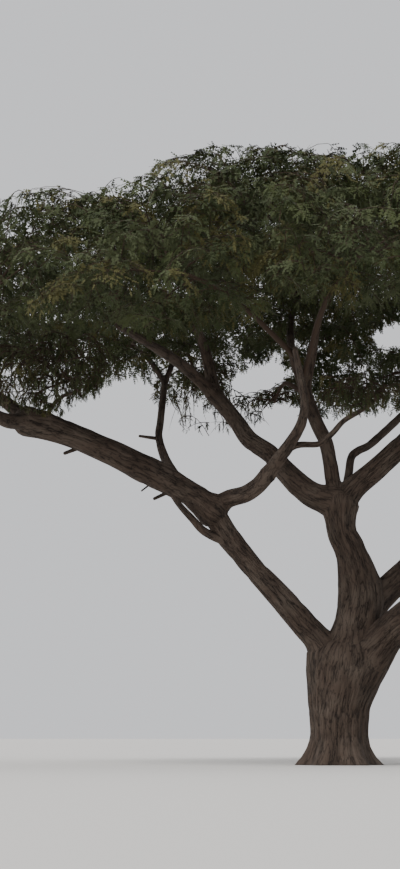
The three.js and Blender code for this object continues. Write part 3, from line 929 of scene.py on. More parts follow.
    def build_trunk(self) -> bpy.types.Object:
        """The trunk's piece, flat at the ground."""
        return self.closed("trunk", self.barked("trunk", self.trunk.surface()))

    def build_limb(self, name: str) -> bpy.types.Object:
        """One limb's piece, with its stubs joined to it.

        Args:
            name: The limb's name.

        Returns:
            The piece.
        """
        pieces = []
        for part, spine in enumerate([self.spines[name], *self.limbs[name].stubs()]):
            skin = self.barked(name, self.limb_surface(self.rounded(spine)))
            pieces.append(self.closed(f"{name}_{part}" if part else name, skin))
        if len(pieces) > 1:
            with bpy.context.temp_override(active_object=pieces[0], selected_editable_objects=pieces):
                bpy.ops.object.join()
        return pieces[0]


# The crown


@dataclass(frozen=True)
class Manner:
    """How the sprays of a mass stand.

    Args:
        climbs: The climbs of the lowest and the highest twig.
        layer_tilts: For each repeat of the twigs, the degrees that are added to the climbs.
        arch: How far a spray rises over a straight line, as a share of its length.
        droop: How far its shoots bend down, as a share of their length.
        hook: How far they bend back, likewise.
        rise: How much of a shoot's upward lean is left.
        shoot: How much longer its shoots are.
        bends: The points that a shoot is drawn with.
        girth: A shoot's diameters at its foot and its tip.
        leaves: Leaves on each shoot.
        leaf: How much larger they are.
        leaf_angle: The angle between a leaf and its shoot.
        spacing: The way between two shoots on one side of a spray.
        gap: The widest gap that is left between sprays.
    """

    climbs: tuple[float, float]
    layer_tilts: tuple[float, ...]
    arch: float
    droop: float
    hook: float
    rise: float
    shoot: float
    bends: int
    girth: tuple[float, float]
    leaves: int
    leaf: float
    leaf_angle: float
    spacing: float
    gap: float


class Habit(Enum):
    """The two ways in which masses grow."""

    RISING = Manner(
        climbs=(-28, 54),
        layer_tilts=(0, 0),
        arch=0.12,
        droop=0.48,
        hook=0.2,
        rise=0.5,
        shoot=1.0,
        bends=3,
        girth=(9, 4),
        leaves=7,
        leaf=1.05,
        leaf_angle=46,
        spacing=160,
        gap=330,
    )
    HANGING = Manner(
        climbs=(-34, 16),
        layer_tilts=(0, 34),
        arch=0.06,
        droop=0.88,
        hook=0.8,
        rise=0.3,
        shoot=2.2,
        bends=6,
        girth=(18, 9),
        leaves=15,
        leaf=0.5,
        leaf_angle=25,
        spacing=215,
        gap=300,
    )


@dataclass
class Mass:
    """One leafy mass. Its space is a flat rounded block under the dome, cut off by planes to its neighbours.

    Args:
        name: The mass's name, which is its solid's.
        limb: The limb that carries it.
        centre: The middle of its space.
        width: The half width of its space.
        height: The half height of its space.
        lift: How far the dome over it is raised.
        sprays: Sprays on each twig.
        habit: How they stand.
        seed: Picks its numbers.
    """

    name: str
    limb: Limb
    centre: Array
    width: float
    height: float
    lift: float
    sprays: int
    habit: Habit
    seed: int
    stem: Curve = field(init=False)
    slopes: Array = field(init=False)  # the direction square to each plane, away from this mass
    offsets: Array = field(init=False)  # how far out each plane lies in that direction
    sides: Array = field(init=False)  # 1 or -1 for each plane, and the other for the mass beyond it

    def plot_stem(self) -> None:
        """The stem leaves its limb at the tip, or a little short of it where others do, and swings in."""
        share = STEM_START - STEM_STEP * self.limb.carried
        self.limb.carried += 1
        start = self.limb.curve.at(share)
        end = mix(start, self.centre, STEM_END)
        swing = STEM_BEND * np.linalg.norm(end - start)
        knee = (start + end) / 2 + swing * self.limb.curve.direction(share)
        self.stem = Curve(np.array([start, knee, end]))

    def look_round(self, masses: Sequence[Mass]) -> None:
        """Learns the planes between this mass and the others.

        A plane holds the points whose squared ways to the two middles, each less the square of that mass's
        half width, are equal, where heights count more than widths.

        Args:
            masses: All the masses.
        """
        squash = np.array([1, 1, FLATNESS**2])
        others = [mass for mass in masses if mass is not self]
        centres = np.array([mass.centre for mass in others])
        widths = np.array([mass.width for mass in others])
        slopes = 2 * (centres - self.centre) * squash
        steep = np.linalg.norm(slopes, axis=1)
        size = (centres**2 @ squash - widths**2) - (self.centre**2 @ squash - self.width**2)
        self.slopes, self.offsets = slopes / steep[:, None], size / steep
        self.sides = np.array([1 if mass.seed > self.seed else -1 for mass in others])

    def room(self, points: Array, wave: float = 0) -> Array:
        """How far inside the mass's space and under the dome points lie, negative outside.

        Args:
            points: The points, with the three coordinates last.
            wave: How far the planes to the neighbours wave, where one mass gains what the other loses.

        Returns:
            One way for each point.
        """
        apart = points - self.centre
        out = np.hypot(apart[..., 0], apart[..., 1]) / self.width
        share = (out**SQUARENESS + np.abs(apart[..., 2] / self.height) ** SQUARENESS) ** (1 / SQUARENESS)
        room = np.minimum((1 - share) * self.height, dome_top(points) + self.lift - points[..., 2])
        to_planes = self.offsets - points @ self.slopes.T
        if wave:
            shift = wave * (value_noise(points / BOUND_GRAIN, NOISE_SEEDS["bounds"]) - 0.5)
            to_planes = to_planes + shift[..., None] * self.sides
        return np.minimum(room, to_planes.min(axis=-1))

    def reach(self, start: Array, way: Array, most: float, wave: float = 0) -> float:
        """How far a straight line runs before it leaves the space.

        Args:
            start: Its foot.
            way: Its direction.
            most: How far it is followed.
            wave: How far the planes to the neighbours wave.

        Returns:
            Its length.
        """
        runs = np.arange(0, most, PROBE)
        outside = self.room(start + runs[:, None] * way, wave) <= CLEARANCE
        stop = runs[outside.argmax()] if outside.any() else runs[-1] + PROBE
        return float(stop - PROBE)


def dome_top(points: Array) -> Array:
    """The dome's height over points: it falls with the square of the way out, and by a bell curve in valleys.

    Args:
        points: The points, with the three coordinates last.

    Returns:
        One height for each point.
    """
    at, width, depth = np.array(VALLEYS, float).T
    dips = depth * np.exp(-(((points[..., :1] - at) / width) ** 2))
    fall = CROWN_FALL * (points[..., 0] ** 2 + points[..., 1] ** 2) / CROWN_RADIUS**2
    return CROWN_TOP - fall - dips.sum(axis=-1)


def in_sky_gap(points: Array) -> Array:
    """Whether points lie in an open place as seen from the viewpoint.

    A point goes along its line of sight to the plane y = 0, where each open place is an ellipse. Noise at the
    point draws the ellipse in or out, so that its edge is ragged.

    Args:
        points: The points, one to a row.

    Returns:
        For each point, whether it does.
    """
    eye = np.array(VIEWPOINT, float)
    share = -eye[1] / (points[:, 1:2] - eye[1])
    seen = eye + share * (points - eye)
    gaps = np.array(SKY_GAPS, float)
    out = (seen[:, None, [0, 2]] - gaps[:, :2]) / gaps[:, 2:]
    edge = mix(*SKY_RAGGED, value_noise(points / SKY_GRAIN, NOISE_SEEDS["sky"]))
    return (np.sum(out**2, axis=-1) < edge[:, None]).any(axis=1)


@dataclass
class Spray:
    """One spray: its axis from a twig, with shoots at both sides.

    Args:
        root: Where its axis leaves the twig.
        along: The axis's direction.
        flat: The direction across the spray.
        length: The axis's length.
        habit: How it stands.
    """

    root: Array
    along: Array
    flat: Array
    length: float
    habit: Habit

    @classmethod
    def rolled(
        cls, root: Array, along: Array, level: Array, roll: float, length: float, habit: Habit
    ) -> Spray:
        """A spray that would be flat along a level direction, rolled about its axis.

        Args:
            root: Where its axis leaves the twig.
            along: The axis's direction.
            level: The direction across it before the roll.
            roll: The roll, in degrees.
            length: The axis's length.
            habit: How it stands.

        Returns:
            The spray.
        """
        turn = math.radians(roll)
        flat = level * math.cos(turn) + np.cross(along, level) * math.sin(turn)
        return cls(root, along, flat, length, habit)

    @property
    def bow(self) -> float:
        """How strongly the axis bows up: four times the arch, and more the steeper it leans."""
        return 4 * self.habit.value.arch + ARCH_LEVEL * abs(self.along[2])

    def axis(self, share: Array) -> Array:
        """Points on the axis: a straight line, raised by the bow times the share gone and the share left."""
        arch = self.bow * share * (1 - share)
        return self.root + self.length * (share[:, None] * self.along + arch[:, None] * UP)

    def headings(self, share: Array) -> Array:
        """Directions on the axis, from the formula's slope."""
        return unit(self.along + self.bow * (1 - 2 * share[:, None]) * UP)


@dataclass
class Shoots:
    """Many shoots at once, each a short curved twig with leaves along it.

    A shoot's point is its foot, plus its length times: the share times its direction, less the hook times the
    cube of the share times its direction, less the droop times the square of the share straight down.

    Args:
        foot: The feet.
        way: The directions that they leave in.
        face: The upper side's direction of each shoot's spray.
        length: The lengths.
        droop: How far each bends down.
        hook: How far each bends back.
        leaf: How much larger its leaves are.
        spray: The number of each shoot's spray.
    """

    foot: Array
    way: Array
    face: Array
    length: Array
    droop: Array
    hook: Array
    leaf: Array
    spray: Array

    @classmethod
    def together(cls, parts: Sequence[Shoots]) -> Shoots:
        """The shoots of many parts, in order."""
        return cls(*(np.concatenate([getattr(part, item.name) for part in parts]) for item in fields(cls)))

    def at(self, share: Array) -> Array:
        """Points at shares of the way.

        Args:
            share: The shares.

        Returns:
            Shoots by shares by the three coordinates.
        """
        on = share - self.hook[:, None] * share**3
        down = self.droop[:, None] * share**2
        offset = on[..., None] * self.way[:, None] - down[..., None] * UP
        return self.foot[:, None] + self.length[:, None, None] * offset

    def directions(self, share: Array) -> Array:
        """Directions at shares of the way, from the formula's slope.

        Args:
            share: The shares.

        Returns:
            Shoots by shares by the three coordinates.
        """
        on = 1 - 3 * self.hook[:, None] * share**2
        down = 2 * self.droop[:, None] * share
        return unit(on[..., None] * self.way[:, None] - down[..., None] * UP)

    def kept(self, keep: Array) -> Shoots:
        """Those shoots that a mask keeps."""
        return Shoots(*(getattr(self, item.name)[keep] for item in fields(self)))


@dataclass(frozen=True)
class ShootRule:
    """Where shoots stand on a spray's axis, and how they change along it.

    Args:
        fewest: The fewest pairs of them.
        stretch: The shares of the axis where the first and the last pair stand.
        stagger: How far the second of a pair stands after the first, as a share of a pair's room.
        tip: The share of the axis where the last one stands.
        angle: The angle between a shoot and the axis, in degrees.
        angle_play: How far that varies.
        angle_fade: What it is multiplied by at the axis's foot and at its tip.
        end_length: The length of one at the axis's ends, as a share of half the spray's width.
        bulge: How much longer one is half-way along, likewise.
        fullness: The power that keeps them long to both sides of the middle.
        length_play: The least and the most that a length is multiplied by.
        bend_play: The same for the manner's droop and hook.
        leaf_fade: What the leaves' size is multiplied by at the axis's foot and at its tip.
        least: The least length.
    """

    fewest: int = 3
    stretch: tuple[float, float] = (0.1, 0.94)
    stagger: float = 0.42
    tip: float = 0.985
    angle: float = 54
    angle_play: float = 9
    angle_fade: tuple[float, float] = (1.15, 0.75)
    end_length: float = 0.32
    bulge: float = 0.95
    fullness: float = 1.6
    length_play: tuple[float, float] = (0.8, 1.15)
    bend_play: tuple[float, float] = (0.5, 1.3)
    leaf_fade: tuple[float, float] = (1.15, 0.7)
    least: float = 110

    def shoots(self, spray: Spray, number: int, rng: np.random.Generator) -> Shoots:
        """Shoots at both sides of a spray's axis, longest in its middle, and one at its tip.

        Args:
            spray: The spray.
            number: Its number.
            rng: Gives their play.

        Returns:
            Its shoots.
        """
        manner = spray.habit.value
        count = max(round(spray.length / manner.spacing), self.fewest)
        share = np.repeat(np.linspace(*self.stretch, count), 2) + np.tile([0, self.stagger / count], count)
        share, side = np.append(share, self.tip), np.append(np.tile([-1.0, 1.0], count), 0.0)
        total = len(share)
        angle = np.radians(self.angle + rng.uniform(-self.angle_play, self.angle_play, total))
        angle = angle * np.abs(side) * mix(*self.angle_fade, share)
        on = spray.headings(share)
        way = np.cos(angle)[:, None] * on + (side * np.sin(angle))[:, None] * spray.flat
        way[:, 2] = np.where(way[:, 2] > 0, manner.rise * way[:, 2], way[:, 2])
        length = self.end_length + self.bulge * (1 - np.abs(2 * share - 1) ** self.fullness)
        length = manner.shoot * (SPRAY_WIDTH / 2 * spray.length * length)
        return Shoots(
            foot=spray.axis(share),
            way=unit(way),
            face=np.cross(on, spray.flat),
            length=np.maximum(length * rng.uniform(*self.length_play, total), self.least),
            droop=manner.droop * rng.uniform(*self.bend_play, total),
            hook=manner.hook * rng.uniform(*self.bend_play, total),
            leaf=manner.leaf * mix(*self.leaf_fade, share),
            spray=np.full(total, number),
        )


@dataclass(frozen=True)
class LeafRule:
    """The feathery leaf, pairs of leaflets that share a rib, and how leaves stand on a shoot.

    Args:
        length: A leaf's length.
        width: Its half width, as a share of its length.
        pairs: Pairs of leaflets on it.
        oval: How long the leaf is and where it is widest, in half lengths of the oval that bounds it.
        forward: How far a leaflet's tip lies past its rib's stretch, as a share of the leaf's length.
        tilt: How far leaves turn out of their spray's plane.
        stretch: The shares of a shoot where its first and its last leaf stand.
        angle_play: How far the angle between a leaf and its shoot varies, in degrees.
        size_play: The least and the most that a leaf's length is multiplied by.
        size_fade: What it is multiplied by at the shoot's foot and at its tip.
        tints: How many colours the sprays are dealt.
        deal: The step through the colours from spray to spray, and the sprays after which it is one more.
    """

    length: float = 125
    width: float = 0.25
    pairs: int = 3
    oval: tuple[float, float] = (1.5, 0.7)
    forward: float = 0.06
    tilt: float = 0.65
    stretch: tuple[float, float] = (0.14, 0.99)
    angle_play: float = 12
    size_play: tuple[float, float] = (0.8, 1.2)
    size_fade: tuple[float, float] = (1.1, 0.75)
    tints: int = 4
    deal: tuple[int, int] = (7, 3)

    def leaf(self) -> tuple[Array, Array]:
        """One leaf: each pair of leaflets is two triangles on one stretch of the rib.

        Returns:
            The corners' places along the rib and across it, and the faces.
        """
        span, widest = self.oval
        rib = np.linspace(0, 1, self.pairs + 1)
        out = self.width * np.sqrt(1 - (span * rib[1:] - widest) ** 2)
        tips = np.stack([rib[1:] + self.forward, out], axis=-1)
        corners = np.concatenate([np.stack([rib, 0 * rib], axis=-1), tips, tips * [1, -1]])
        k = np.arange(self.pairs)
        left, right = k + self.pairs + 1, k + 2 * self.pairs + 1
        faces = np.concatenate([np.stack([k, k + 1, left], axis=-1), np.stack([k, right, k + 1], axis=-1)])
        return corners, faces

    def mesh(self, shoots: Shoots, manner: Manner, rng: np.random.Generator) -> Shape:
        """Leaves at both sides of the shoots in turn, and the last at the tip.

        A leaf's corner is its foot, plus its length times the corner's place along the rib and across it.

        Args:
            shoots: The shoots.
            manner: How many leaves each has, and how they stand.
            rng: Gives the leaves' play.

        Returns:
            The leaves, each with its spray's tint.
        """
        corners, faces = self.leaf()
        leaves = manner.leaves
        share = np.linspace(*self.stretch, leaves)
        foot, way = shoots.at(share), shoots.directions(share)
        side = np.where(np.arange(leaves) % 2, 1.0, -1.0)
        side[-1] = 0
        face = shoots.face[:, None] + self.tilt * rng.uniform(-1, 1, foot.shape)
        across = unit(np.cross(face, way))
        play = rng.uniform(-self.angle_play, self.angle_play, foot.shape[:2])
        angle = np.radians(manner.leaf_angle + play) * np.abs(side)
        along = unit(np.cos(angle)[..., None] * way + (side * np.sin(angle))[..., None] * across)
        wide = unit(np.cross(face, along))
        size = self.length * rng.uniform(*self.size_play, foot.shape[:2]) * shoots.leaf[:, None]
        size = (size * mix(*self.size_fade, share))[..., None, None]
        place = corners[:, :1] * along[:, :, None] + corners[:, 1:] * wide[:, :, None]
        points = (foot[:, :, None] + size * place).reshape(-1, 3)
        starts = np.arange(foot.shape[0] * leaves) * len(corners)
        whole = (faces[None] + starts[:, None, None]).reshape(-1, 3)
        stride, run = self.deal
        tint = (shoots.spray * stride + shoots.spray // run) % self.tints
        return Shape(points, whole, np.repeat(tint, leaves * len(faces)))


@dataclass
class Crown:
    """The masses of the crown, and the finer twigs and leaves that fill them.

    Args:
        timber: The limbs that carry it.
        box: The lowest and the highest corner that it may reach, in millimetres.
        layer_turn: The bearing between two repeats of a mass's twigs.
        layer_seed: Sets the repeats' numbers apart.
        roll_share: How much of a solid leaf's roll its spray keeps.
        places: How many places of a mass's space are looked at for gaps.
        edge: How near the end of the space such a place may lie, as a share of the widest gap.
        fill_play: How far the direction of a spray that fills a gap strays.
        fill_reach: How far it grows, as a multiple of the way to the place.
        fill_least: The least length of such a spray.
        margin: How far inside the mass's space the shoots stay, for their leaves.
        shoot_tries: The shares of its length that a shoot may keep to stay inside.
        stem_tube: The points along a stem's tube, and its sides.
        twig_tube: The same for a twig.
        axis_tube: The same for a spray's axis.
        shoot_sides: The sides of a shoot.
        twig_arch: How far a twig's middle is raised, as a share of its length.
        axis_girth: The diameters of a spray's axis at its foot and its tip.
        shoot_rule: How shoots stand.
        leaf_rule: The leaves, and how they stand.
    """

    timber: Timber
    box: tuple[Array, Array]
    layer_turn: float = 68
    layer_seed: int = 100
    roll_share: float = 0.75
    places: int = 1500
    edge: float = 0.25
    fill_play: float = 0.15
    fill_reach: float = 1.35
    fill_least: float = 210
    margin: float = 45
    shoot_tries: tuple[float, ...] = (0.5, 0.75, 1.0)
    stem_tube: tuple[int, int] = (16, 8)
    twig_tube: tuple[int, int] = (5, 5)
    axis_tube: tuple[int, int] = (7, 3)
    shoot_sides: int = 3
    twig_arch: float = 0.05
    axis_girth: tuple[float, float] = (15, 6)
    shoot_rule: ShootRule = ShootRule()
    leaf_rule: LeafRule = LeafRule()
    masses: list[Mass] = field(init=False, default_factory=list)

    def plan(self) -> None:
        """Plans the hanging masses and then the rings, in the solids' order."""
        limbs = self.timber.limbs
        for name, limb, bearing, reach, rise, width, height in HANGING_MASSES:
            centre = limbs[limb].curve.at(1) + reach * heading(bearing, 0) + rise * UP
            size = (width, height, 0)
            self.add(f"{name}_mass", limbs[limb], centre, size, HANGING_SPRAYS, Habit.HANGING)
        for number, ring in enumerate(CROWN_RINGS):
            for i in range(ring[1]):
                self.add_to_ring(number, i, ring)
        for mass in self.masses:
            mass.look_round(self.masses)

    def add_to_ring(self, number: int, i: int, ring: tuple) -> None:
        """Plans one mass of a ring, a little unlike its neighbours, on the limb with the nearest tip.

        Args:
            number: The ring's number.
            i: The mass's number in it.
            ring: The ring's row of sizes.
        """
        name, count, reach, first, width, height, sprays = ring
        stream = Stream(RING_SEED * (number + 1) + i)
        bearing = first + 360 * i / count + RING_SHUFFLE["bearing"] * stream.draw()
        reach += RING_SHUFFLE["reach"] * stream.draw()
        width *= 1 + RING_SHUFFLE["size"] * stream.draw()
        height *= 1 + RING_SHUFFLE["size"] * stream.draw()
        lift = RING_SHUFFLE["lift"] * stream.draw()
        centre = reach * heading(bearing, 0)
        centre[2] = dome_top(centre) - height + lift
        limb = self.nearest_limb(centre - [0, 0, height / 2])
        self.add(f"{name}_mass_{i + 1:02d}", limb, centre, (width, height, lift), sprays, Habit.RISING)

    def nearest_limb(self, place: Array) -> Limb:
        """The limb whose bare tip is nearest, where each mass that it carries already counts as more way.

        Args:
            place: The place that it is to be near.

        Returns:
            The limb.
        """
        forked = {limb.parent for limb in self.timber.limbs.values() if limb.at == 1}
        bare = [x for x in self.timber.limbs.values() if x.name not in forked and x.name not in SLIGHT_LIMBS]
        return min(bare, key=lambda x: np.linalg.norm(x.curve.at(1) - place) + STEM_CROWDING * x.carried)

    def add(
        self,
        name: str,
        limb: Limb,
        centre: Array,
        size: tuple[float, float, float],
        sprays: int,
        habit: Habit,
    ) -> None:
        """Adds a mass and lays its stem.

        Args:
            name: The mass's name.
            limb: The limb that carries it.
            centre: The middle of its space.
            size: The half width and half height of its space, and how far the dome over it is raised.
            sprays: Sprays on each twig.
            habit: How they stand.
        """
        mass = Mass(name, limb, centre, *size, sprays, habit, seed=len(self.masses) + 1)
        mass.plot_stem()
        self.masses.append(mass)

    def twigs_and_sprays(self, mass: Mass) -> tuple[Array, list[Spray]]:
        """Twigs off the stem by the golden angle, the upper ones steeper, and the sprays on them.

        Args:
            mass: The mass that they fill.

        Returns:
            The twigs' ends, twigs by two by the three coordinates, and the sprays.
        """
        stem = mass.stem.at(np.linspace(0, 1, STEM_POINTS))
        length = np.linalg.norm(np.diff(stem, axis=0), axis=1).sum()
        lowest = max(TWIG_LOWEST, 1 - TWIG_SPREAD * mass.width / length)
        manner = mass.habit.value
        layers = len(manner.layer_tilts)
        twigs, sprays = [], []
        for layer, tilt in enumerate(manner.layer_tilts):
            stream = Stream(mass.seed + self.layer_seed * layer)
            for i in range(TWIG_COUNT):
                share = min((i + layer / layers) / (TWIG_COUNT - 1), 1)
                start = mass.stem.at(mix(lowest, TWIG_HIGHEST, share))
                bearing = TWIG_TURN * mass.seed + GOLDEN_ANGLE * i + self.layer_turn * layer
                bearing += TWIG_PLAY["bearing"] * stream.draw()
                climb = mix(*manner.climbs, share) + tilt + TWIG_PLAY["climb"] * stream.draw()
                way = heading(bearing, climb)
                run = TWIG_SHARE * mass.reach(start, way, 2 * mass.width)
                on_twig = self.sprays_on(mass, start, run * way, (bearing, climb), stream)
                if run >= TWIG_LEAST:
                    twigs.append([start, start + run * way])
                    sprays += on_twig
        return np.array(twigs), sprays

    def sprays_on(
        self, mass: Mass, start: Array, run: Array, lean: tuple[float, float], stream: Stream
    ) -> list[Spray]:
        """Sprays at the two sides of a twig in turn, and the last at its tip.

        Args:
            mass: The mass that they fill.
            start: The twig's foot.
            run: The way from its foot to its tip.
            lean: Its bearing and its climb.
            stream: Gives the numbers.

        Returns:
            The sprays.
        """
        bearing, climb = lean
        sprays = []
        last = mass.sprays - 1
        for k in range(mass.sprays):
            side = 0 if k == last else (1 if k % 2 else -1)
            toward = bearing + (side * SPRAY_SWING + SPRAY_PLAY["swing"] * stream.draw())
            lift = SPRAY_PLAY["climb"] * stream.draw()
            roll = self.roll_share * SPRAY_PLAY["roll"] * stream.draw()
            most = SPRAY_LENGTH * (1 + SPRAY_PLAY["length"] * stream.draw())
            root = start + run * (SPRAY_TIP if k == last else mix(*SPRAY_SIDES, k / (last - 1)))
            along = heading(toward, SPRAY_CLIMB * climb + lift)
            length = self.spray_length(mass, root, along, most)
            if length >= SPRAY_LEAST:
                sprays.append(Spray.rolled(root, along, heading(toward + 90, 0), roll, length, mass.habit))
        return sprays

    def spray_length(self, mass: Mass, root: Array, along: Array, most: float) -> float:
        """How long a spray may grow before it leaves the mass's space or the box, or comes to an open place.

        Args:
            mass: The mass that it fills.
            root: Where it leaves its twig.
            along: Its direction.
            most: Its length where nothing stops it.

        Returns:
            The length.
        """
        low, high = self.box
        bounds = np.where(along > 0, high - root, root - low)
        in_box = bounds / np.maximum(np.abs(along), SLIGHT)
        runs = np.arange(0, most, PROBE)
        sky = in_sky_gap(root + runs[:, None] * along)
        free = runs[sky.argmax()] if sky.any() else most
        return float(min(mass.reach(root, along, most, BOUND_WAVE), in_box.min(), free))

    def filled(self, mass: Mass, twigs: Array, sprays: list[Spray], rng: np.random.Generator) -> list[Spray]:
        """Adds sprays where the mass's space is still empty.

        Time after time, the place farthest from all wood so far gets a spray that grows towards it from the
        nearest wood, until no place is farther off than the widest gap.

        Args:
            mass: The mass.
            twigs: Its twigs' ends.
            sprays: The sprays that follow the solids' rule.
            rng: Gives the places that are looked at.

        Returns:
            All sprays.
        """
        widest = MASS_GAPS.get(mass.name, mass.habit.value.gap)
        half = np.array([mass.width, mass.width, mass.height])
        places = mass.centre + half * rng.uniform(-1, 1, (self.places, 3))
        places = places[(mass.room(places, BOUND_WAVE) > self.edge * widest) & self.clear(places[:, None])]
        wood = mix(twigs[:, :1], twigs[:, 1:], WOOD_PLACES[:, None]).reshape(-1, 3)
        wood = np.concatenate([wood, *(spray.axis(WOOD_PLACES) for spray in sprays)])
        apart = np.linalg.norm(places[:, None] - wood, axis=-1)
        nearest, gaps = apart.argmin(axis=1), apart.min(axis=1)
        while gaps.max() > widest:
            target = gaps.argmax()
            root = wood[nearest[target]]
            along = unit(places[target] - root + self.fill_play * gaps[target] * rng.uniform(-1, 1, 3))
            length = self.spray_length(mass, root, along, self.fill_reach * gaps[target])
            gaps[target] = 0
            if length < self.fill_least:
                continue
            roll = self.roll_share * SPRAY_PLAY["roll"] * rng.uniform(-1, 1)
            spray = Spray.rolled(root, along, unit(np.cross(UP, along)), roll, length, mass.habit)
            sprays.append(spray)
            added = spray.axis(WOOD_PLACES)
            apart = np.linalg.norm(places[:, None] - added, axis=-1)
            closer = apart.min(axis=1) < gaps
            nearest = np.where(closer, len(wood) + apart.argmin(axis=1), nearest)
            gaps = np.where(closer, apart.min(axis=1), gaps)
            wood = np.concatenate([wood, added])
        return sprays

    def inside(self, mass: Mass, shoots: Shoots) -> Shoots:
        """Shortens shoots that leave the mass's space, and drops those that still do or that meet a limb.

        Args:
            mass: The mass that they fill.
            shoots: The shoots.

        Returns:
            The shoots that are left.
        """
        fitting = np.zeros(len(shoots.length))
        for share in self.shoot_tries:
            tried = replace(shoots, length=share * shoots.length)
            points = tried.at(SHOOT_PLACES)
            well = (mass.room(points, BOUND_WAVE).min(axis=1) > self.margin) & self.clear(points)
            fitting = np.where(well, tried.length, fitting)
        return replace(shoots, length=fitting).kept(fitting > 0)

    def clear(self, points: Array) -> Array:
        """Whether all of a shoot's points are clear of the limbs and the open places, and in the box.

        Args:
            points: Shoots by points by the three coordinates.

        Returns:
            For each shoot, whether they are.
        """
        flat = points.reshape(-1, 3)
        low, high = self.box
        well = np.all((flat > low) & (flat < high), axis=1) & ~in_sky_gap(flat)
        well &= self.timber.nearest(flat)[0] > CLEARANCE
        return well.reshape(points.shape[:2]).all(axis=1)

    def twig_mesh(self, mass: Mass, twigs: Array, sprays: Sequence[Spray], shoots: Shoots) -> Shape:
        """The mass's stem, twigs, spray axes and shoots, as closed tubes.

        A twig is a straight line raised by its arch times the sine of half a turn's share.

        Args:
            mass: The mass.
            twigs: The twigs' ends.
            sprays: The sprays.
            shoots: The shoots.

        Returns:
            One shape of three-cornered faces.
        """
        manner = mass.habit.value
        stem_points, stem_sides = self.stem_tube
        twig_points, twig_sides = self.twig_tube
        axis_points, axis_sides = self.axis_tube
        stem = mass.stem.at(np.linspace(0, 1, stem_points))[None]
        stem_girth = (min(STEM_GIRTH[0], mass.limb.girth[-1]), STEM_GIRTH[1])
        share = np.linspace(0, 1, twig_points)[:, None]
        arch = self.twig_arch * np.linalg.norm(twigs[:, 1] - twigs[:, 0], axis=1)[:, None, None]
        arched = mix(twigs[:, :1], twigs[:, 1:], share) + arch * np.sin(np.pi * share) * UP
        axes = np.array([spray.axis(np.linspace(0, 1, axis_points)) for spray in sprays])
        lines = shoots.at(np.linspace(0, 1, manner.bends))
        tubes = [
            thin_tubes(stem, stem_girth, stem_sides),
            thin_tubes(arched, TWIG_GIRTH, twig_sides),
            thin_tubes(axes, self.axis_girth, axis_sides),
            thin_tubes(lines, manner.girth, self.shoot_sides),
        ]
        return joined(tubes)

    def build(self, mass: Mass) -> tuple[bpy.types.Object, bpy.types.Object]:
        """Builds one mass.

        Args:
            mass: The mass.

        Returns:
            The piece of its twigs and the piece of its leaves.
        """
        rng = np.random.default_rng(mass.seed)
        twigs, sprays = self.twigs_and_sprays(mass)
        sprays = self.filled(mass, twigs, sprays, rng)
        parts = [self.shoot_rule.shoots(spray, number, rng) for number, spray in enumerate(sprays)]
        shoots = self.inside(mass, Shoots.together(parts))
        wood = self.twig_mesh(mass, twigs, sprays, shoots)
        green = self.leaf_rule.mesh(shoots, mass.habit.value, rng)
        return (
            make_piece(f"{mass.name}_twigs", wood.points, [wood.faces]),
            make_piece(f"{mass.name}_leaves", green.points, [green.faces], green.kinds),
        )


# Finishes


class Socket:
    """A shader value that adds Math nodes when it is used in a sum or a product."""

    def __init__(self, shader: Shader, output: bpy.types.NodeSocket) -> None:
        """Wraps a node's output."""
        self.shader, self.output = shader, output

    def _math(self, operation: str, first: Socket | float, second: Socket | float) -> Socket:
        """A Math node on two values."""
        return self.shader.node("ShaderNodeMath", {"operation": operation}, {0: first, 1: second})

    def __add__(self, other: Socket | float) -> Socket:
        """This value plus another."""
        return self._math("ADD", self, other)

    def __radd__(self, other: float) -> Socket:
        """A number plus this value."""
        return self._math("ADD", other, self)

    def __sub__(self, other: Socket | float) -> Socket:
        """This value less another."""
        return self._math("SUBTRACT", self, other)

    def __rsub__(self, other: float) -> Socket:
        """A number less this value."""
        return self._math("SUBTRACT", other, self)

    def __mul__(self, other: Socket | float) -> Socket:
        """This value times another."""
        return self._math("MULTIPLY", self, other)

    def __rmul__(self, other: float) -> Socket:
        """A number times this value."""
        return self._math("MULTIPLY", other, self)

    def __abs__(self) -> Socket:
        """This value without its sign."""
        return self.shader.node("ShaderNodeMath", {"operation": "ABSOLUTE"}, {0: self})


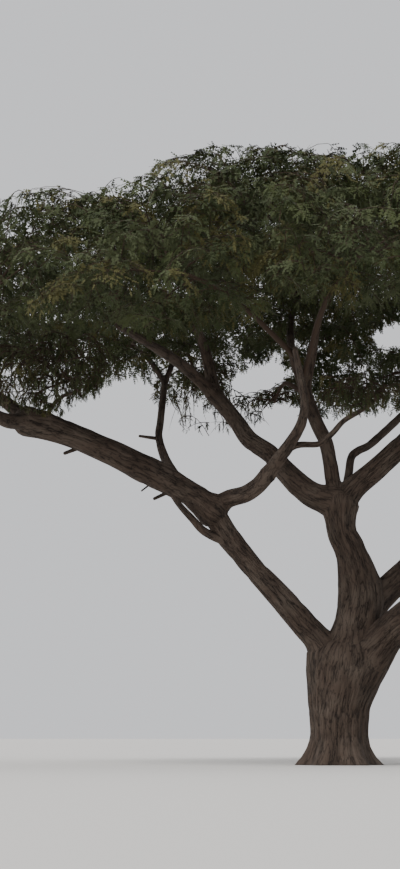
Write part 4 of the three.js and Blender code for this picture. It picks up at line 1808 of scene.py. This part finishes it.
class Shader:
    """A material's nodes."""

    def __init__(self, name: str) -> None:
        """Makes a material with a plain shader.

        Args:
            name: The material's name.
        """
        self.material = bpy.data.materials.new(name)
        self.material.use_nodes = True
        self.tree = self.material.node_tree
        self.surface = self.tree.nodes["Principled BSDF"]

    def node(
        self,
        kind: str,
        settings: dict[str, object] | None = None,
        values: dict[str | int, Socket | object] | None = None,
        out: str | int = 0,
    ) -> Socket:
        """Adds one node.

        Args:
            kind: The node's type.
            settings: What is set on the node itself, before its sockets.
            values: The values or links of its inputs.
            out: The output that is wanted.

        Returns:
            That output.
        """
        made = self.tree.nodes.new(kind)
        for name, value in (settings or {}).items():
            setattr(made, name, value)
        for name, value in (values or {}).items():
            self.put(made.inputs[name], value)
        return Socket(self, made.outputs[out])

    def put(self, target: bpy.types.NodeSocket, value: Socket | object) -> None:
        """Links a value to an input, or sets the input to it.

        Args:
            target: The input.
            value: What it gets: another node's output, or a plain value.
        """
        if isinstance(value, Socket):
            self.tree.links.new(value.output, target)
        else:
            target.default_value = value

    def blend(self, share: Socket, low: Socket | Colour, high: Socket | Colour) -> Socket:
        """A colour the given share of the way from one to another."""
        values = dict(zip(MIX_INPUTS, (share, low, high)))
        return self.node("ShaderNodeMix", {"data_type": "RGBA"}, values, out=MIX_OUTPUT)

    def between(self, value: Socket, low: float, high: float) -> Socket:
        """The share of the way that a value has come from low to high, kept from 0 to 1."""
        values = {"Value": value, "From Min": low, "From Max": high}
        return self.node("ShaderNodeMapRange", {"clamp": True}, values)

    def noise(self, place: Socket, kind: tuple[float, float, float]) -> Socket:
        """Noise at a place, of a kind given by its features to one unit, its detail and its roughness."""
        values = {"Vector": place, **dict(zip(("Scale", "Detail", "Roughness"), kind))}
        return self.node("ShaderNodeTexNoise", {}, values)

    def dress(self, values: dict[str, Socket | object]) -> bpy.types.Material:
        """Sets the plain shader's inputs.

        Args:
            values: The values or links of its inputs.

        Returns:
            The finished material.
        """
        for name, value in values.items():
            self.put(self.surface.inputs[name], value)
        return self.material


@dataclass(frozen=True)
class BarkFinish:
    """Fissured grey-brown bark: painted shade in the fissures, paler on the ridges, with broad paler patches.

    Args:
        fissure: The colour in the fissures, where it is painted shade, and in the fine cracks and darker
            grains.
        ridge: The colour on the ridges.
        patch: The colour of the paler patches.
        patch_noise: The noise of the patches, to a metre.
        patch_ends: Its values where a patch begins and where it is full.
        patch_share: How much of its own colour a full patch shows.
        crack_noise: The noise of fine cracks, to a ridge of the mesh.
        crack_half: How far from its middle it counts as a crack.
        grit_noise: The noise of the grains, to a metre.
        worn: How much the ridges, the plates between cracks and the grains pale the bark; fissures get
            painted shade.
        worn_ends: Their sum where the ridges' colour begins and where it is full.
        relief: How deep the cracks look, in metres.
        relief_strength: How strongly they show.
        relief_shares: How much of the relief the plates and the grains have.
        roughness: The roughness between the grains, and how much less it is on them.
        specular: The strength of the sheen.
    """

    fissure: Colour = (0.013, 0.009, 0.007, 1)
    ridge: Colour = (0.068, 0.048, 0.036, 1)
    patch: Colour = (0.118, 0.094, 0.074, 1)
    patch_noise: tuple[float, float, float] = (2.4, 4, 0.55)
    patch_ends: tuple[float, float] = (0.45, 0.7)
    patch_share: float = 0.6
    crack_noise: tuple[float, float, float] = (1.7, 3, 0.5)
    crack_half: float = 0.055
    grit_noise: tuple[float, float, float] = (70, 5, 0.7)
    worn: tuple[float, float, float] = (0.55, 0.6, 0.5)
    worn_ends: tuple[float, float] = (0.35, 1.3)
    relief: float = 0.012
    relief_strength: float = 0.8
    relief_shares: tuple[float, float] = (0.7, 0.3)
    roughness: tuple[float, float] = (0.97, 0.12)
    specular: float = 0.25

    def make(self) -> bpy.types.Material:
        """Makes the patterns on Object coordinates and on the mesh's bark attributes.

        Returns:
            The material.
        """
        shader = Shader("bark")
        place = shader.node("ShaderNodeTexCoord", out="Object")
        grain = shader.node("ShaderNodeAttribute", {"attribute_name": "bark_grain"}, out="Vector")
        height = shader.node("ShaderNodeAttribute", {"attribute_name": "bark_height"}, out="Fac")
        cracks = abs(shader.noise(grain, self.crack_noise) - 0.5)
        plates = shader.between(cracks, 0, self.crack_half)
        grit = shader.noise(place, self.grit_noise)
        patches = shader.between(shader.noise(place, self.patch_noise), *self.patch_ends)
        by_ridge, by_plate, by_grit = self.worn
        # Where the bark height is low, in the fissures, this darkens the bark as painted shade; the cracks
        # and grains are the bark's own pattern.
        worn = shader.between(by_ridge * height + by_plate * plates + by_grit * grit, *self.worn_ends)
        top = shader.blend(self.patch_share * patches, self.ridge, self.patch)
        of_plates, of_grit = self.relief_shares
        rough, less = self.roughness
        bump = {
            "Strength": self.relief_strength,
            "Distance": self.relief,
            "Height": of_plates * plates + of_grit * grit,
        }
        surface = {
            # Painted shade in the fissures, from the mesh's bark height, mixed with the bark's own cracks,
            # grains and patches.
            "Base Color": shader.blend(worn, self.fissure, top),
            "Roughness": rough - less * grit,
            "Normal": shader.node("ShaderNodeBump", {}, bump),
            "Specular IOR Level": self.specular,
        }
        return shader.dress(surface)


@dataclass(frozen=True)
class PlainFinish:
    """One plain matt colour, for what is too small to show a pattern.

    Args:
        name: The material's name.
        colour: Its colour.
        roughness: Its roughness.
        specular: The strength of its sheen.
    """

    name: str
    colour: Colour
    roughness: float = 0.8
    specular: float = 0.25

    def make(self) -> bpy.types.Material:
        """The material."""
        values = {"Base Color": self.colour, "Roughness": self.roughness, "Specular IOR Level": self.specular}
        return Shader(self.name).dress(values)


TWIG_FINISH = PlainFinish("twig_bark", (0.038, 0.024, 0.016, 1), roughness=0.9)
LEAF_FINISHES = (
    PlainFinish("leaf_deep_olive", (0.026, 0.035, 0.010, 1), roughness=0.7),
    PlainFinish("leaf_olive", (0.040, 0.050, 0.015, 1), roughness=0.7),
    PlainFinish("leaf_grey_green", (0.048, 0.058, 0.024, 1), roughness=0.75),
    PlainFinish("leaf_dry_olive", (0.066, 0.062, 0.020, 1), roughness=0.75),
)
FLOOR_FINISH = PlainFinish("pale_floor", (0.62, 0.60, 0.57, 1), roughness=0.9, specular=0.2)


# The studio


@dataclass
class Studio:
    """A pale floor, soft light and the camera at the photograph's viewing angle.

    Args:
        tilt: How far the camera looks up, in degrees.
        lens: Its focal length, in millimetres.
        sensor: The length of its sensor, in millimetres.
        sight: How far it sees, in metres.
        floor_half: Half the floor's side, in metres.
        sky: The colour of the light from all round.
        sky_strength: Its strength.
        sun_strength: The strength of the soft light from the upper left.
        sun_turn: That light's turns about X, Y and Z, in degrees.
        sun_spread: How wide it is, in degrees.
    """

    tilt: float = 6.116
    lens: float = 114.28
    sensor: float = 36
    sight: float = 500
    floor_half: float = 120
    sky: Colour = (0.86, 0.87, 0.90, 1)
    sky_strength: float = 0.95
    sun_strength: float = 3.4
    sun_turn: tuple[float, float, float] = (48, 0, -38)
    sun_spread: float = 25

    def build(self) -> None:
        """Makes all three."""
        self.place_camera()
        self.light()
        self.lay_floor()

    def place_camera(self) -> None:
        """The camera at the viewpoint, level from side to side."""
        data = bpy.data.cameras.new("view")
        data.lens = self.lens
        data.sensor_width = self.sensor
        data.clip_end = self.sight
        camera = bpy.data.objects.new("view", data)
        camera.location = METRE * np.array(VIEWPOINT)
        camera.rotation_euler = (math.radians(90 + self.tilt), 0, 0)
        bpy.context.collection.objects.link(camera)
        bpy.context.scene.camera = camera

    def light(self) -> None:
        """Even light from all round, and a wide soft light from the upper left."""
        world = bpy.data.worlds.new("studio")
        world.use_nodes = True
        background = world.node_tree.nodes["Background"]
        background.inputs["Color"].default_value = self.sky
        background.inputs["Strength"].default_value = self.sky_strength
        bpy.context.scene.world = world
        data = bpy.data.lights.new("soft_key", "SUN")
        data.energy = self.sun_strength
        data.angle = math.radians(self.sun_spread)
        lamp = bpy.data.objects.new("soft_key", data)
        lamp.rotation_euler = tuple(math.radians(turn) for turn in self.sun_turn)
        bpy.context.collection.objects.link(lamp)

    def lay_floor(self) -> None:
        """A square of floor."""
        corners = self.floor_half / METRE * np.array([[-1, -1, 0], [1, -1, 0], [1, 1, 0], [-1, 1, 0]])
        floor = make_piece("floor", corners, [np.array([[0, 1, 2, 3]])])
        floor.data.materials.append(FLOOR_FINISH.make())
        floor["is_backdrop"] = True


def settle(piece: bpy.types.Object, node: str, finishes: Iterable[bpy.types.Material]) -> None:
    """Dresses a piece, puts it on the tree's body and lets it stand for its node.

    Args:
        piece: The piece.
        node: The CAD node that it replaces.
        finishes: Its materials, in order.
    """
    for finish in finishes:
        piece.data.materials.append(finish)
    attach(piece, BODY)
    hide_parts(node)
    log.info("%s: %d faces", piece.name, len(piece.data.polygons))


def main() -> None:
    """Builds the studio, the timber and the crown."""
    logging.basicConfig(level=logging.INFO, format="%(name)s %(message)s")
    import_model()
    solid_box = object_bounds()
    Studio().build()

    timber = Timber()
    timber.grow()
    bark = BarkFinish().make()
    settle(timber.build_trunk(), "trunk", [bark])
    for name in timber.limbs:
        settle(timber.build_limb(name), name, [bark])

    low, high = (np.array(corner) / METRE for corner in solid_box)
    crown = Crown(timber, (low - BOX_MARGIN, high + BOX_MARGIN))
    crown.plan()
    twig_finish = TWIG_FINISH.make()
    leaf_finishes = [finish.make() for finish in LEAF_FINISHES]
    for mass in crown.masses:
        twigs, leaves = crown.build(mass)
        settle(twigs, mass.name, [twig_finish])
        settle(leaves, mass.name, leaf_finishes)


if __name__ == "__main__":
    main()
